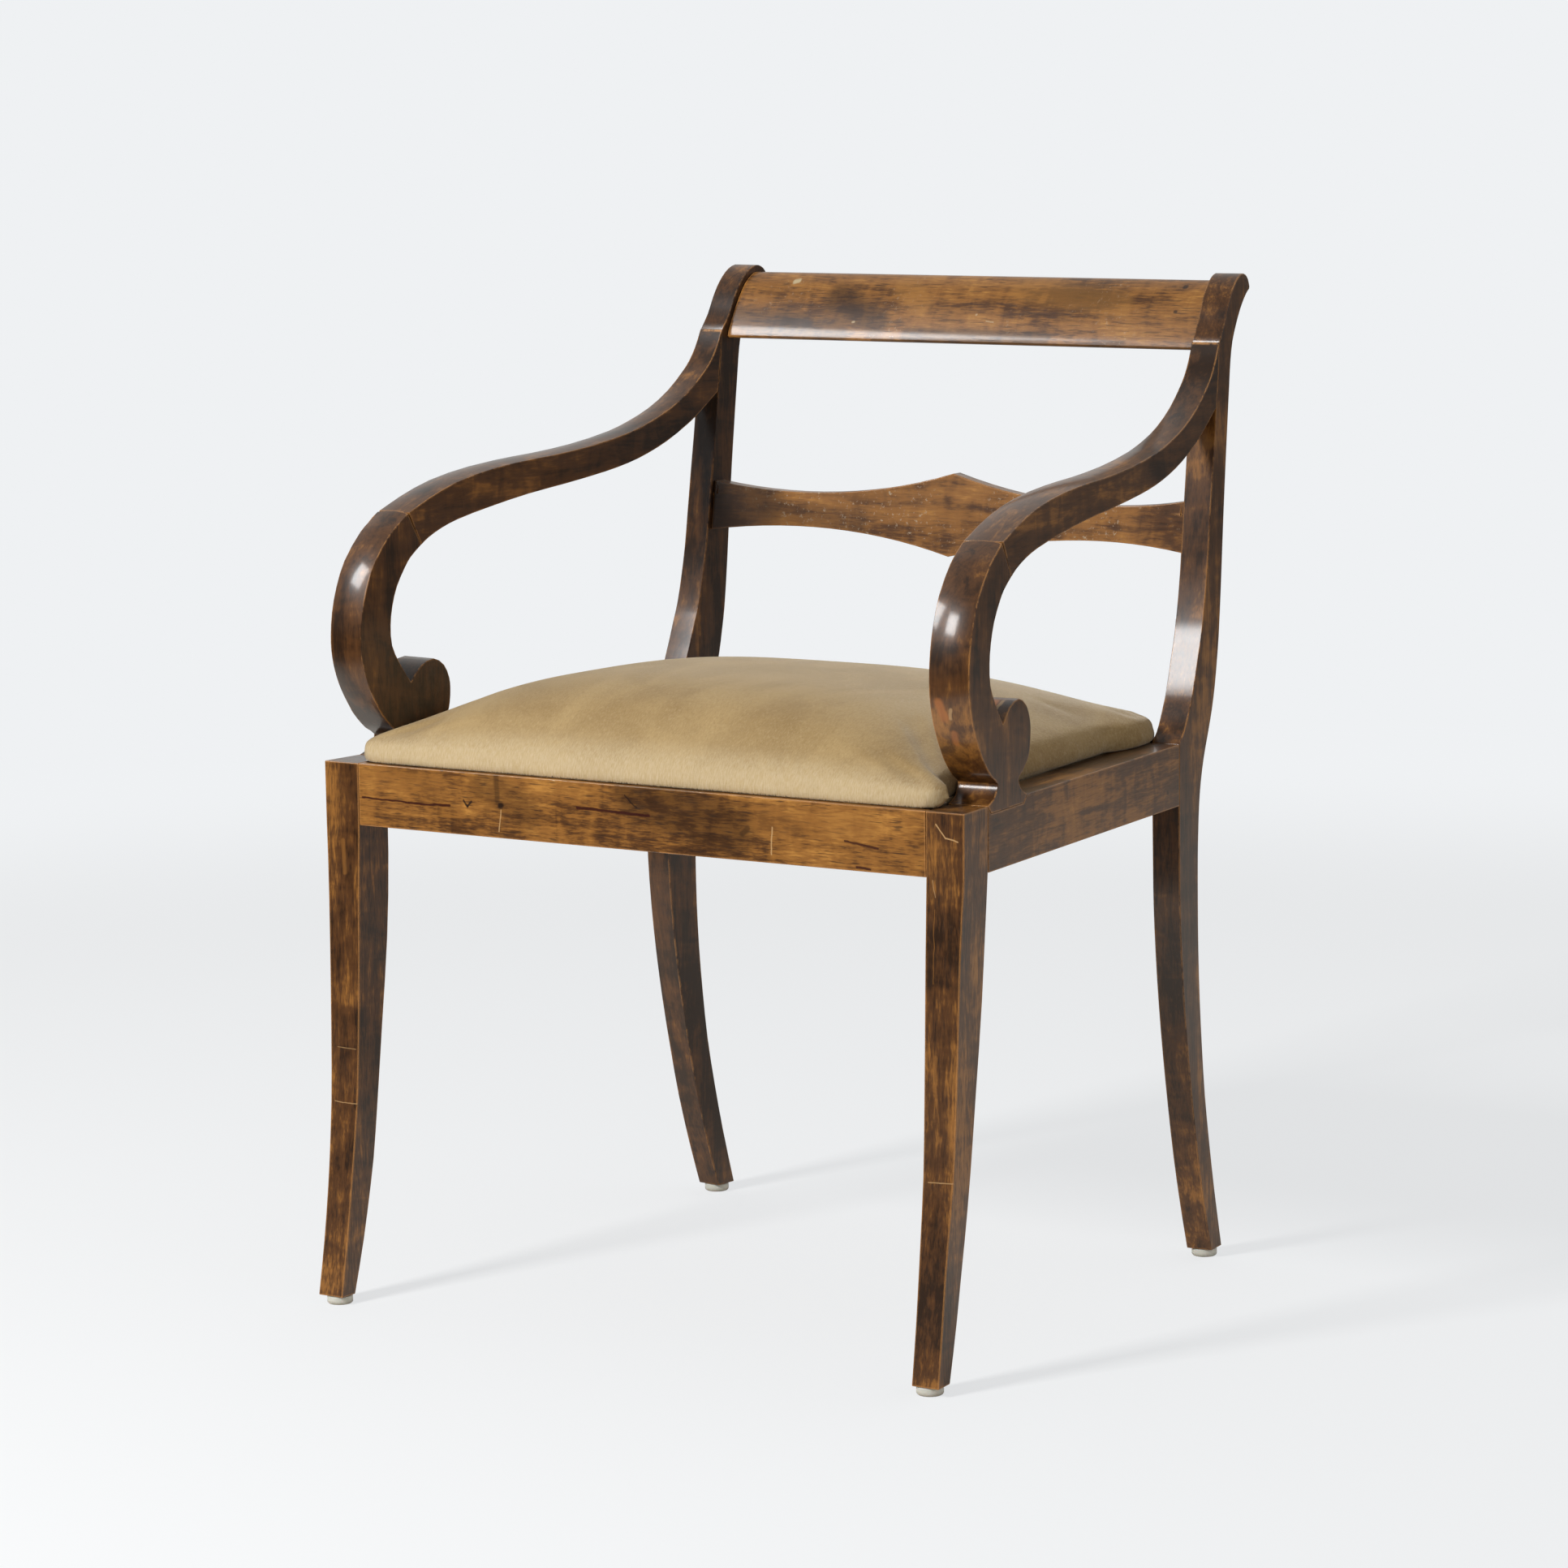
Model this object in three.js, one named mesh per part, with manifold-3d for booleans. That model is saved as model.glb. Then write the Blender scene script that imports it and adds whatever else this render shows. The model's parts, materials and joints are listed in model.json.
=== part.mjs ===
// A klismos armchair: sabre legs, scrolled arms, a rolled crest rail, a waisted mid rail
// and a loose upholstered seat that drops between the seat rails.
// Millimetres, +Z up. The sitter faces -Y, and right is +X, as seen from the front.
// Each side lies in a plane that turns inward to the back. Places in it are given as
// s, the run along the side from the front face, t, the inset from its outer face, and z.
import * as THREE from 'three';
import * as BufferGeometryUtils from 'three/addons/utils/BufferGeometryUtils.js';
import Module from 'manifold-3d';

const wasm = await Module();
wasm.setup();

// Plan of the seat frame
const front_width = 593.7;
const rear_width = 518.8;
const seat_run = 389.7;

// Heights, stacked from the floor to the top of the posts
const rail_top = 433;
const arm_rise = 314.5;
const post_top_rise = 52.5;

// Running clearances
const fit_gap = 0.3;
const overrun = 4;

// Glides and their nails
const glide_radius = 10.3;
const glide_height = 6.5;
const glide_edge = 1.2;
const glide_recess = 2.2;
const nail_radius = 1.3;
const nail_head_radius = 3.2;
const nail_head_height = 0.9;
const nail_length = 18;

// Front legs
const leg_width = 33.3;
const leg_depth = 40;
const leg_foot_depth = 20;
const leg_sweep = 34;
const leg_outer_taper = 9.4;
const leg_inner_taper = 3.5;

// Rear posts, with the rear legs
const post_thick = 24;
const post_foot_thick = 22;
const rear_leg_sweep = 82.5;
const back_sweep = 83.1;
const post_scroll_reach = 62;

// Seat rails
const rail_height = 49.6;
const side_rail_thick = 33;
const front_rail_thick = 25;
const rear_rail_thick = 24;
const rear_rail_setback = 6.3;
const rail_lip = 8;
const ledge_drop = 20.6;

// Tenons
const tenon_thick = 10;
const thin_tenon_thick = 8;
const leg_tenon_length = 15;
const post_tenon_length = 15;
const across_tenon_length = 11;
const tenon_shoulder = 6;
const tenon_haunch = 12;

// Arm scrolls, standing on the side rails
const arm_front_thick = 33;
const scroll_depth = 115;
const scroll_rise = 193;
const scroll_taper_start = 60;
const foot_length = 67;
const foot_depth = 6.3;
const foot_splay = 6;
const tongue_length = 18;
const tongue_thick = 11;

// Upper arms
const arm_end_height = 52;
const dowel_radius = 4;
const dowel_in_arm = 22;
const dowel_in_post = 15;
const dowel_drop = 44;

// Crest rail
const crest_rise = 7.5;
const crest_height = 54.2;
const crest_reach = 51.5;
const crest_front_recess = 6;

// Mid rail of the back
const mid_rail_rise = 165.3;
const mid_rail_waist = 28.5;
const mid_rail_thick = 12;
const mid_rail_bow = 14;
const mid_rail_recess = 4;
const mid_top_radius = 508;
const mid_bottom_radius = 580;
const mid_top_waist_out = 142;
const mid_bottom_waist_out = 150;

// Corner blocks, ledgers and screws
const block_leg = 55;
const block_end = 12;
const block_height = 24;
const ledger_width = 12;
const ledger_height = 15;
const screw_radius = 2;
const screw_head_radius = 4;
const screw_head_height = 2.4;
const screw_tip = 3;
const screw_bite = 16;
const block_screw_inset = 20;
const block_screw_grip = 17;
const ledger_screw_inset = 45;
const scroll_screw_length = 52;

// Loose seat: frame, webbing, hessian, padding and cover
const seat_play = 1.5;
const cover_thick = 1.6;
const padding_play = 1.2;
const frame_thick = 18;
const frame_width = 45;
const webbing_width = 50;
const webbing_thick = 1.2;
const webbing_hold = 30;
const webbing_count = 3;
const hessian_thick = 1;
const hessian_inset = 6;
const skirt_lift = 1;
const seat_front = 4.5;
const seat_back_inset = 7;
const seat_corner_inset = 22.55;
const seat_corner_run = 18;
const seat_pinch = 34.2;
const seat_bulge = 28;
const crown_edge_rise = 25;
const crown_rise = 73;
const crown_peak_run = 120;

// Outline shares of the front legs: height above the foot, then share of the sweep or taper
const leg_front_shares = [[1, 0], [0.88, 0.01], [0.78, 0.07], [0.55, 0.18], [0.37, 0.31], [0.28, 0.45],
  [0.19, 0.61], [0.1, 0.78], [0, 1]];
const leg_back_shares = [[1, 0], [0.88, 0], [0.79, 0.01], [0.665, 0.08], [0.5, 0.25], [0.335, 0.415],
  [0.255, 0.5], [0.175, 0.63], [0.095, 0.78], [0, 1]];
const leg_outer_shares = [[1, 0], [0.88, 0.04], [0.78, 0.28], [0.55, 0.5], [0.37, 0.69], [0.19, 0.97],
  [0, 1]];
const leg_inner_shares = [[1, 0], [0.54, 0.1], [0, 1]];
const leg_step_shares = [0, 0.05, 0.1, 0.15, 0.2, 0.25, 0.3, 0.36, 0.42, 0.5, 0.58, 0.66, 0.74, 0.82];

// Outline shares of the rear legs: share of the sweep, then share of the rail's underside height
const rear_leg_front_shares = [[0.588, 0.117], [0.429, 0.232], [0.307, 0.344], [0.196, 0.459],
  [0.108, 0.571], [0.044, 0.681], [0.005, 0.79], [0, 0.86]];
const rear_leg_foot_share = 0.747;
const rear_leg_back_shares = [[0.599, 1.085], [0.524, 1.035], [0.481, 0.986], [0.459, 0.934],
  [0.446, 0.88], [0.443, 0.78], [0.452, 0.678], [0.481, 0.574], [0.533, 0.467], [0.6, 0.363],
  [0.704, 0.256], [0.829, 0.146]];

// Outline shares of the posts up to the arm joint: share of the back sweep, share of the arm rise
const post_front_shares = [[0.048, 0.012], [0.11, 0.025], [0.182, 0.05], [0.256, 0.083],
  [0.325, 0.1145], [0.469, 0.212], [0.545, 0.264], [0.62, 0.34], [0.681, 0.4165], [0.734, 0.509],
  [0.794, 0.614], [0.86, 0.725], [0.936, 0.87]];
const post_back_shares = [[0.7, 0.006], [0.797, 0.064], [0.87, 0.124], [0.924, 0.188], [0.967, 0.248],
  [1.024, 0.375], [1.07, 0.499], [1.12, 0.626], [1.176, 0.75], [1.237, 0.878], [1.275, 0.951]];

// Outline shares of the rolled post top, from the arm joint: share of the reach, share of the rise
const post_roll_front_shares = [[0.15, 0.234], [0.254, 0.465], [0.357, 0.659], [0.475, 0.819],
  [0.612, 0.943], [0.758, 1], [0.871, 0.975], [0.952, 0.901], [1, 0.787]];
const post_roll_back_shares = [[0.992, 0.749], [0.895, 0.686], [0.743, 0.524], [0.645, 0.387],
  [0.538, 0.204], [0.434, -0.015]];

// Outline shares of the arm scroll: share of its depth, share of its rise above the rail
const scroll_foot_front_shares = [[0.444, 0.021], [0.485, 0.049]];
const scroll_outer_shares = [[0.5, 0.075], [0.417, 0.106], [0.335, 0.15], [0.242, 0.215], [0.174, 0.28],
  [0.134, 0.332], [0.104, 0.389], [0.086, 0.451], [0.085, 0.513], [0.103, 0.606], [0.155, 0.71],
  [0.242, 0.8135], [0.413, 0.926], [0.496, 0.961], [0.6, 1]];
const scroll_inner_shares = [[0.73, 0.86], [0.617, 0.815], [0.5565, 0.777], [0.468, 0.7016],
  [0.417, 0.622], [0.395, 0.544], [0.405, 0.461], [0.474, 0.386], [0.587, 0.298]];
const scroll_lobe_shares = [[0.587, 0.298], [0.691, 0.3575], [0.83, 0.381], [0.939, 0.347],
  [0.991, 0.29], [1, 0.246], [0.99, 0.1865], [0.967, 0.146], [0.925, 0.119], [0.87, 0.092],
  [0.814, 0.0725], [0.82, 0.051], [0.859, 0.024]];

// Outline shares of the upper arm, from the scarf to the post: share of the run, share of the rise
const arm_top_shares = [[0, 0], [0.062, 0.082], [0.148, 0.167], [0.266, 0.229], [0.387, 0.259],
  [0.446, 0.268], [0.57, 0.301], [0.695, 0.362], [0.759, 0.416], [0.8235, 0.49], [0.888, 0.596],
  [0.937, 0.714], [0.959, 0.782], [0.98, 0.876]];
const arm_under_shares = [[0.925, 0.806], [0.891, 0.734], [0.822, 0.611], [0.755, 0.525],
  [0.687, 0.462], [0.608, 0.413], [0.477, 0.355], [0.349, 0.307], [0.222, 0.239], [0.117, 0.169],
  [0.066, 0.116], [0.023, 0.05], [0, 0]];
const arm_end_shares = [0.75, 0.5, 0.25];
const tongue_shares = [0.25, 0.75];

// Outline shares of the crest rail's section: share of its reach, share of its height
const crest_front_shares = [[0.04, 0], [0, 0.033], [0.072, 0.205], [0.173, 0.394], [0.313, 0.627],
  [0.472, 0.83], [0.61, 0.937], [0.709, 0.991], [0.79, 1.0]];
const crest_back_shares = [[0.92, 0.975], [0.985, 0.91], [0.965, 0.845], [0.845, 0.735], [0.65, 0.545],
  [0.495, 0.335], [0.39, 0.15], [0.32, 0]];
const crest_tenon_shares = [[0.2, 0.2], [0.36, 0.2], [0.62, 0.68], [0.46, 0.68]];

// Shares of the loose seat
const crown_ring_shares = [0.965, 0.92, 0.84, 0.72, 0.56, 0.38, 0.18];
const crown_inner_ring_shares = [0.93, 0.75, 0.45];
const crown_power_share = 2.6;
const side_ring_shares = [[0, 0], [0.6, 0.14], [1, 0.45], [0.997, 0.74], [0.988, 0.96]];
const side_inner_ring_shares = [[0, 0], [1, 0.45], [0.988, 0.94]];
const corner_shares = [[0.5, 0], [0.9, 0.015], [0.972, 0.24], [1, 1]];
const pinch_run_shares = [0.078, 0.19, 0.305];
const bulge_run_shares = [[0.37, 0.35], [0.6, 1], [0.84, 0.9], [0.96, 1]];
const rear_corner_shares = [[0.965, 0.985], [0.9, 1], [0.45, 1]];

// Counts of steps and sides on curved shapes, and the share of a gap at which corners merge
const outline_steps = 2;
const follow_steps = 6;
const mid_rail_steps = 28;
const screw_sides = 10;
const dowel_sides = 12;
const glide_sides = 24;
const merge_share = 0.001;

// The side plane
const side_angle = Math.atan2((front_width - rear_width) / 2, seat_run);
const side_cos = Math.cos(side_angle);
const side_sin = Math.sin(side_angle);
const half_width = front_width / 2;
const side_matrix = new THREE.Matrix4()
  .makeRotationZ(Math.PI / 2 + side_angle)
  .setPosition(half_width, 0, 0);

// Heights and places worked out from the sizes
const foot_z = glide_height + fit_gap;
const rail_bottom = rail_top - rail_height;
const ledge_z = rail_top - ledge_drop;
const joint_s = seat_run / side_cos;
const arm_joint_s = joint_s + back_sweep;
const arm_joint_z = rail_top + arm_rise;
const crotch_z = arm_joint_z - arm_end_height;
const leg_inner_x = half_width - leg_width;
const rear_rail_front = seat_run + rear_rail_setback;
const rear_rail_back = rear_rail_front + rear_rail_thick;
const seat_back = rear_rail_back - seat_back_inset;
const seat_corner_width = half_width - seat_corner_inset;

// Materials
const dark_birch = { color: 0x4a2c19, roughness: 0.38, metalness: 0 };
const plain_birch = { color: 0xa57c4f, roughness: 0.7, metalness: 0 };
const mohair = { color: 0xbda77a, roughness: 0.95, metalness: 0 };
const stuffing = { color: 0x8a7453, roughness: 1, metalness: 0 };
const jute = { color: 0x9a7d52, roughness: 0.95, metalness: 0 };
const nylon = { color: 0xdcd8cc, roughness: 0.5, metalness: 0 };
const steel = { color: 0x9a9a98, roughness: 0.35, metalness: 1 };

// Points and curves

// The plan place of a point in the right-hand side plane
function plan(s, t) {
  return [half_width - s * side_sin - t * side_cos, s * side_cos - t * side_sin];
}

// The run at which a line of constant inset crosses a given depth
function runAt(y, t) {
  return (y + t * side_sin) / side_cos;
}

// The half width inside a given inset, at a given depth
function widthAt(y, t) {
  return plan(runAt(y, t), t)[0];
}

// A table of shares, placed at a corner with its two spans
function spread(shares, s, z, span, rise) {
  return shares.map(([across, up]) => [s + across * span, z + up * rise]);
}

// A smooth line through a few points, with the given steps in each stretch
function smooth(points, steps = outline_steps) {
  const nodes = points.map(([a, b]) => new THREE.Vector3(a, b, 0));
  const curve = new THREE.CatmullRomCurve3(nodes, false, 'centripetal');
  return curve.getPoints((nodes.length - 1) * steps).map((p) => [p.x, p.y]);
}

// The value of a table of [place, value] at a place, along its smooth line
function follow(shares, place) {
  const line = smooth(shares, follow_steps);
  const up = line[0][0] < line[line.length - 1][0];
  const rows = up ? line : [...line].reverse();
  let i = 0;
  while (i < rows.length - 2 && rows[i + 1][0] < place) {
    i += 1;
  }
  const [a, b] = [rows[i], rows[i + 1]];
  const part = THREE.MathUtils.clamp((place - a[0]) / (b[0] - a[0]), 0, 1);
  return a[1] + part * (b[1] - a[1]);
}

// The same table read the other way round: places are the second value
function followUp(line, place) {
  return follow(line.map(([value, at]) => [at, value]), place);
}

// Closed shapes

// A closed skin through rings that have the same number of points, capped at both ends.
// flat gives the two coordinates in which the end rings are flat.
function skin(rings, flat) {
  const count = rings[0].length;
  const faces = [];
  for (let r = 0; r + 1 < rings.length; r += 1) {
    for (let i = 0; i < count; i += 1) {
      const a = r * count + i;
      const b = r * count + (i + 1) % count;
      faces.push([a, b, b + count], [a, b + count, a + count]);
    }
  }
  const last = (rings.length - 1) * count;
  for (const [ring, start, front] of [[rings[0], 0, false], [rings[rings.length - 1], last, true]]) {
    const contour = ring.map((p) => new THREE.Vector2(p[flat[0]], p[flat[1]]));
    const turn = THREE.ShapeUtils.area(contour) > 0;
    for (const face of THREE.ShapeUtils.triangulateShape(contour, [])) {
      const corners = face.map((i) => contour[i]);
      const same = (THREE.ShapeUtils.area(corners) > 0) === turn;
      const [a, b, c] = face.map((i) => i + start);
      faces.push(same === front ? [a, b, c] : [a, c, b]);
    }
  }
  return outward(rings.flat(), faces);
}

// Faces turned so that they point out
function outward(points, faces) {
  const v = points.map((p) => new THREE.Vector3(...p));
  const volume = faces.reduce((sum, [a, b, c]) => sum + v[a].dot(v[b].clone().cross(v[c])), 0);
  const turned = volume > 0 ? faces : faces.map(([a, b, c]) => [a, c, b]);
  const geometry = new THREE.BufferGeometry();
  geometry.setAttribute('position', new THREE.Float32BufferAttribute(points.flat(), 3));
  geometry.setIndex(turned.flat());
  return geometry;
}

// A board in the side plane: an outline in s and z between an outer and an inner inset,
// which are numbers or functions of the place
function board(outline, outer, inner) {
  const inset = (value, s, z) => (typeof value === 'function' ? value(s, z) : value);
  const rings = [outer, inner].map((face) => outline.map(([s, z]) => [s, inset(face, s, z), z]));
  return skin(rings, [0, 2]);
}

// A rectangular block in the side plane
function sideBlock(s0, s1, t0, t1, z0, z1) {
  return board([[s0, z0], [s1, z0], [s1, z1], [s0, z1]], t0, t1);
}

// A section in depth and height, run across the chair between two half widths,
// which are numbers or functions of the depth
function across(section, from, to) {
  const at = (value, y) => (typeof value === 'function' ? value(y) : value);
  const rings = [from, to].map((end) => section.map(([y, z]) => [at(end, y), y, z]));
  return skin(rings, [1, 2]);
}

// A plan outline between two heights
function slab(outline, z0, z1) {
  const rings = [z0, z1].map((z) => outline.map(([x, y]) => [x, y, z]));
  return skin(rings, [0, 1]);
}

// Faces of a surface of rings that closes over a peak
function domeFaces(rings, start) {
  const count = rings[0].length;
  const faces = [];
  rings.forEach((ring, r) => {
    for (let i = 0; i < count; i += 1) {
      const a = start + r * count + i;
      const b = start + r * count + (i + 1) % count;
      if (r + 1 < rings.length) {
        faces.push([a, b, b + count], [a, b + count, a + count]);
      } else {
        faces.push([a, b, start + rings.length * count]);
      }
    }
  });
  return faces;
}

// A body of rings that closes over a peak, and over a base below its first ring
function domed(rings, peak, base) {
  const count = rings[0].length;
  const faces = domeFaces(rings, 0);
  const middle = rings.flat().length + 1;
  for (let i = 0; i < count; i += 1) {
    faces.push([(i + 1) % count, i, middle]);
  }
  return outward([...rings.flat(), peak, base], faces);
}

function rectangle(a0, a1, b0, b1) {
  return [[a0, b0], [a1, b0], [a1, b1], [a0, b1]];
}

// A turned shape along +Z, from a profile of [radius, z] that starts and ends on the axis
function turned(profile, sides) {
  const points = profile.map(([r, z]) => new THREE.Vector2(r, z));
  const geometry = new THREE.LatheGeometry(points, sides);
  geometry.rotateX(Math.PI / 2);
  return geometry;
}

// Joins and cuts

function solid(geometry) {
  const bare = geometry.clone();
  bare.deleteAttribute('normal');
  bare.deleteAttribute('uv');
  const merged = BufferGeometryUtils.mergeVertices(bare, fit_gap * merge_share);
  const kept = [];
  const index = merged.index.array;
  for (let i = 0; i < index.length; i += 3) {
    const [a, b, c] = index.slice(i, i + 3);
    if (a !== b && b !== c && c !== a) {
      kept.push(a, b, c);
    }
  }
  const mesh = new wasm.Mesh({
    numProp: 3,
    vertProperties: new Float32Array(merged.attributes.position.array),
    triVerts: new Uint32Array(kept),
  });
  const body = new wasm.Manifold(mesh);
  if (body.volume() < 0) {
    throw new Error('a shape is inside out');
  }
  return body;
}

function geometryOf(body) {
  const mesh = body.getMesh();
  const geometry = new THREE.BufferGeometry();
  geometry.setAttribute('position', new THREE.BufferAttribute(new Float32Array(mesh.vertProperties), 3));
  geometry.setIndex(new THREE.BufferAttribute(new Uint32Array(mesh.triVerts), 1));
  return geometry;
}

function join(geometry, ...others) {
  return geometryOf(others.reduce((body, other) => body.add(solid(other)), solid(geometry)));
}

function cut(geometry, ...tools) {
  return geometryOf(tools.reduce((body, tool) => body.subtract(solid(tool)), solid(geometry)));
}

function within(geometry, limit) {
  return geometryOf(solid(geometry).intersect(solid(limit)));
}

function moved(geometry, matrix) {
  const copy = geometry.clone().applyMatrix4(matrix);
  if (matrix.determinant() < 0) {
    const index = copy.index.array;
    for (let i = 0; i < index.length; i += 3) {
      [index[i], index[i + 1]] = [index[i + 1], index[i]];
    }
  }
  return copy;
}

function fromSide(geometry) {
  return moved(geometry, side_matrix);
}

function toSide(geometry) {
  return moved(geometry, side_matrix.clone().invert());
}

function mirrored(geometry) {
  return moved(geometry, new THREE.Matrix4().makeScale(-1, 1, 1));
}

// A place and a turn that carry +Z onto a direction
function aimed(point, direction) {
  const turn = new THREE.Quaternion()
    .setFromUnitVectors(new THREE.Vector3(0, 0, 1), new THREE.Vector3(...direction).normalize());
  return new THREE.Matrix4().makeRotationFromQuaternion(turn).setPosition(...point);
}

// The chair, with a group for each way of placing its pieces
const chair = new THREE.Group();
const right_side = new THREE.Group();
const left_half = new THREE.Group();
const left_side = new THREE.Group();
right_side.applyMatrix4(side_matrix);
left_side.applyMatrix4(side_matrix);
left_half.scale.x = -1;
left_half.add(left_side);
chair.add(right_side, left_half);

function piece(parent, name, geometry, material, matrix) {
  const mesh = new THREE.Mesh(geometry, new THREE.MeshStandardMaterial(material));
  mesh.name = name;
  if (matrix) {
    mesh.applyMatrix4(matrix);
  }
  parent.add(mesh);
}

// A piece for each hand, in the side plane
function sidePair(name, geometry, material, matrix) {
  piece(right_side, `${name}_right`, geometry, material, matrix);
  piece(left_side, `${name}_left`, geometry, material, matrix);
}

// A piece for each hand, in the chair's own frame
function pair(name, geometry, material, matrix) {
  piece(chair, `${name}_right`, geometry, material, matrix);
  piece(left_half, `${name}_left`, geometry, material, matrix);
}

// Screws, nails and dowels

function screwShape(length) {
  return turned([[0, 0], [screw_head_radius, 0], [screw_radius, screw_head_height],
    [screw_radius, length - screw_tip], [0, length]], screw_sides);
}

// The hole that a screw lies in, opened outward over its head
function screwHole(length, mouth) {
  const r = screw_radius + fit_gap;
  const head = screw_head_radius + fit_gap;
  return turned([[0, -mouth], [head, -mouth], [head, fit_gap], [r, screw_head_height + fit_gap],
    [r, length + fit_gap], [0, length + fit_gap]], screw_sides);
}

function rod(radius, length, sides) {
  return turned([[0, 0], [radius, 0], [radius, length], [0, length]], sides);
}

// Tenons: each is made once, and cut with its clearance out of what receives it

const tenon_z0 = rail_bottom + tenon_shoulder;
const side_tenon_z1 = rail_top - tenon_haunch;
const across_tenon_z1 = ledge_z - tenon_shoulder / 2;

function sideFrontTenon(grow) {
  const middle = side_rail_thick / 2;
  return sideBlock(leg_depth - leg_tenon_length - grow, leg_depth + overrun,
    middle - tenon_thick / 2 - grow, middle + tenon_thick / 2 + grow,
    tenon_z0 - grow, side_tenon_z1 + grow);
}

function sideRearTenon(grow) {
  const middle = post_thick / 2;
  return sideBlock(joint_s - overrun, joint_s + post_tenon_length + grow,
    middle - thin_tenon_thick / 2 - grow, middle + thin_tenon_thick / 2 + grow,
    tenon_z0 - grow, side_tenon_z1 + grow);
}

function frontTenon(grow) {
  const y0 = rail_lip;
  const section = rectangle(y0 - grow, y0 + tenon_thick + grow, tenon_z0 - grow, across_tenon_z1 + grow);
  return across(section, leg_inner_x - overrun, leg_inner_x + leg_tenon_length + grow);
}

function rearTenon(grow) {
  const y1 = rear_rail_back - rail_lip / 2;
  const y0 = y1 - thin_tenon_thick;
  const section = rectangle(y0 - grow, y1 + grow, tenon_z0 - grow, across_tenon_z1 + grow);
  return across(section, (y) => widthAt(y, post_thick + overrun),
    (y) => widthAt(y, post_thick - across_tenon_length - grow));
}

// Posts and rear legs

const post_corner = [arm_joint_s, arm_joint_z];
const post_front_line = smooth([[joint_s, rail_top],
  ...spread(post_front_shares, joint_s, rail_top, back_sweep, arm_rise), post_corner]);

function postOutline() {
  const leg_front = smooth([
    [joint_s + rear_leg_foot_share * rear_leg_sweep, foot_z],
    ...spread(rear_leg_front_shares, joint_s, 0, rear_leg_sweep, rail_bottom),
    [joint_s, rail_bottom]]);
  const roll_front = smooth([post_corner,
    ...spread(post_roll_front_shares, ...post_corner, post_scroll_reach, post_top_rise)]);
  const back = smooth([
    ...spread(post_roll_back_shares, ...post_corner, post_scroll_reach, post_top_rise),
    ...spread([...post_back_shares].reverse(), joint_s, rail_top, back_sweep, arm_rise),
    ...spread(rear_leg_back_shares, joint_s, 0, rear_leg_sweep, rail_bottom),
    [joint_s + rear_leg_sweep, foot_z]]);
  return [...leg_front, ...post_front_line, ...roll_front.slice(1), ...back];
}

function postInset(s, z) {
  const up = THREE.MathUtils.clamp((z - foot_z) / (rail_bottom - foot_z), 0, 1);
  return post_foot_thick + up * (post_thick - post_foot_thick);
}

// Crest rail: its section lies behind the post's face and follows its roll

const crest_z = arm_joint_z - crest_rise;
const crest_y = plan(arm_joint_s + crest_front_recess, post_thick)[1];

function crestSection(shares) {
  return spread(shares, crest_y, crest_z, crest_reach * side_cos, crest_height);
}

// The tenon leans with the board, so its sides move twice as far for the same clearance
function crestTenon(grow) {
  const signs = [[-1, -1], [1, -1], [1, 1], [-1, 1]];
  const section = crestSection(crest_tenon_shares)
    .map(([y, z], i) => [y + 2 * grow * signs[i][0], z + grow * signs[i][1]]);
  return across(section, (y) => widthAt(y, post_thick + overrun),
    (y) => widthAt(y, post_thick - across_tenon_length - grow));
}

function crestRail() {
  const section = [crest_front_shares, crest_back_shares]
    .flatMap((shares) => smooth(crestSection(shares)));
  const end = (y) => widthAt(y, post_thick + fit_gap);
  const rail = across(section, (y) => -end(y), end);
  const tenon = crestTenon(0);
  return join(rail, tenon, mirrored(tenon));
}

// Mid rail: two arcs on each half meet in a point at the middle, and the board is bowed back

const mid_z = rail_top + mid_rail_rise;

function midRailEdges(x) {
  const arc = (radius, out) => radius - Math.sqrt(radius ** 2 - (Math.abs(x) - out) ** 2);
  const waist = mid_rail_waist / 2;
  return [mid_z - waist - arc(mid_bottom_radius, mid_bottom_waist_out),
    mid_z + waist + arc(mid_top_radius, mid_top_waist_out)];
}

function midRailFront(z) {
  return plan(followUp(post_front_line, z) + mid_rail_recess, post_thick)[1];
}

function midRailSection(part) {
  const reach = widthAt(midRailFront(mid_z), post_thick + fit_gap);
  const [z0, z1] = midRailEdges(part * reach);
  const bow = mid_rail_bow * (1 - part ** 2);
  const lean = (midRailFront(mid_z + mid_rail_waist) - midRailFront(mid_z - mid_rail_waist))
    / (2 * mid_rail_waist);
  const front = (z) => midRailFront(mid_z) + lean * (z - mid_z) + bow;
  const points = [[front(z0), z0], [front(z1), z1], [front(z1) + mid_rail_thick, z1],
    [front(z0) + mid_rail_thick, z0]];
  return points.map(([y, z]) => [part * widthAt(y - bow, post_thick + fit_gap), y, z]);
}

function midTenon(grow) {
  const y0 = midRailFront(mid_z) + (mid_rail_thick - thin_tenon_thick) / 2;
  const rise = mid_rail_waist / 2 - tenon_shoulder / 2;
  const section = rectangle(y0 - grow, y0 + thin_tenon_thick + grow,
    mid_z - rise - grow, mid_z + rise + grow);
  return across(section, (y) => widthAt(y, post_thick + overrun),
    (y) => widthAt(y, post_thick - across_tenon_length - grow));
}

function midRail() {
  const parts = Array.from({ length: mid_rail_steps + 1 }, (_, i) => -1 + 2 * i / mid_rail_steps);
  const tenon = midTenon(0);
  return join(skin(parts.map(midRailSection), [1, 2]), tenon, mirrored(tenon));
}

// Arms: the scroll and the upper arm meet at a scarf, with a tongue in a slot

const scarf_top = [scroll_outer_shares.at(-1)[0] * scroll_depth, rail_top + scroll_rise];
const scarf_bottom = [scroll_inner_shares[0][0] * scroll_depth,
  rail_top + scroll_inner_shares[0][1] * scroll_rise];

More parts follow.
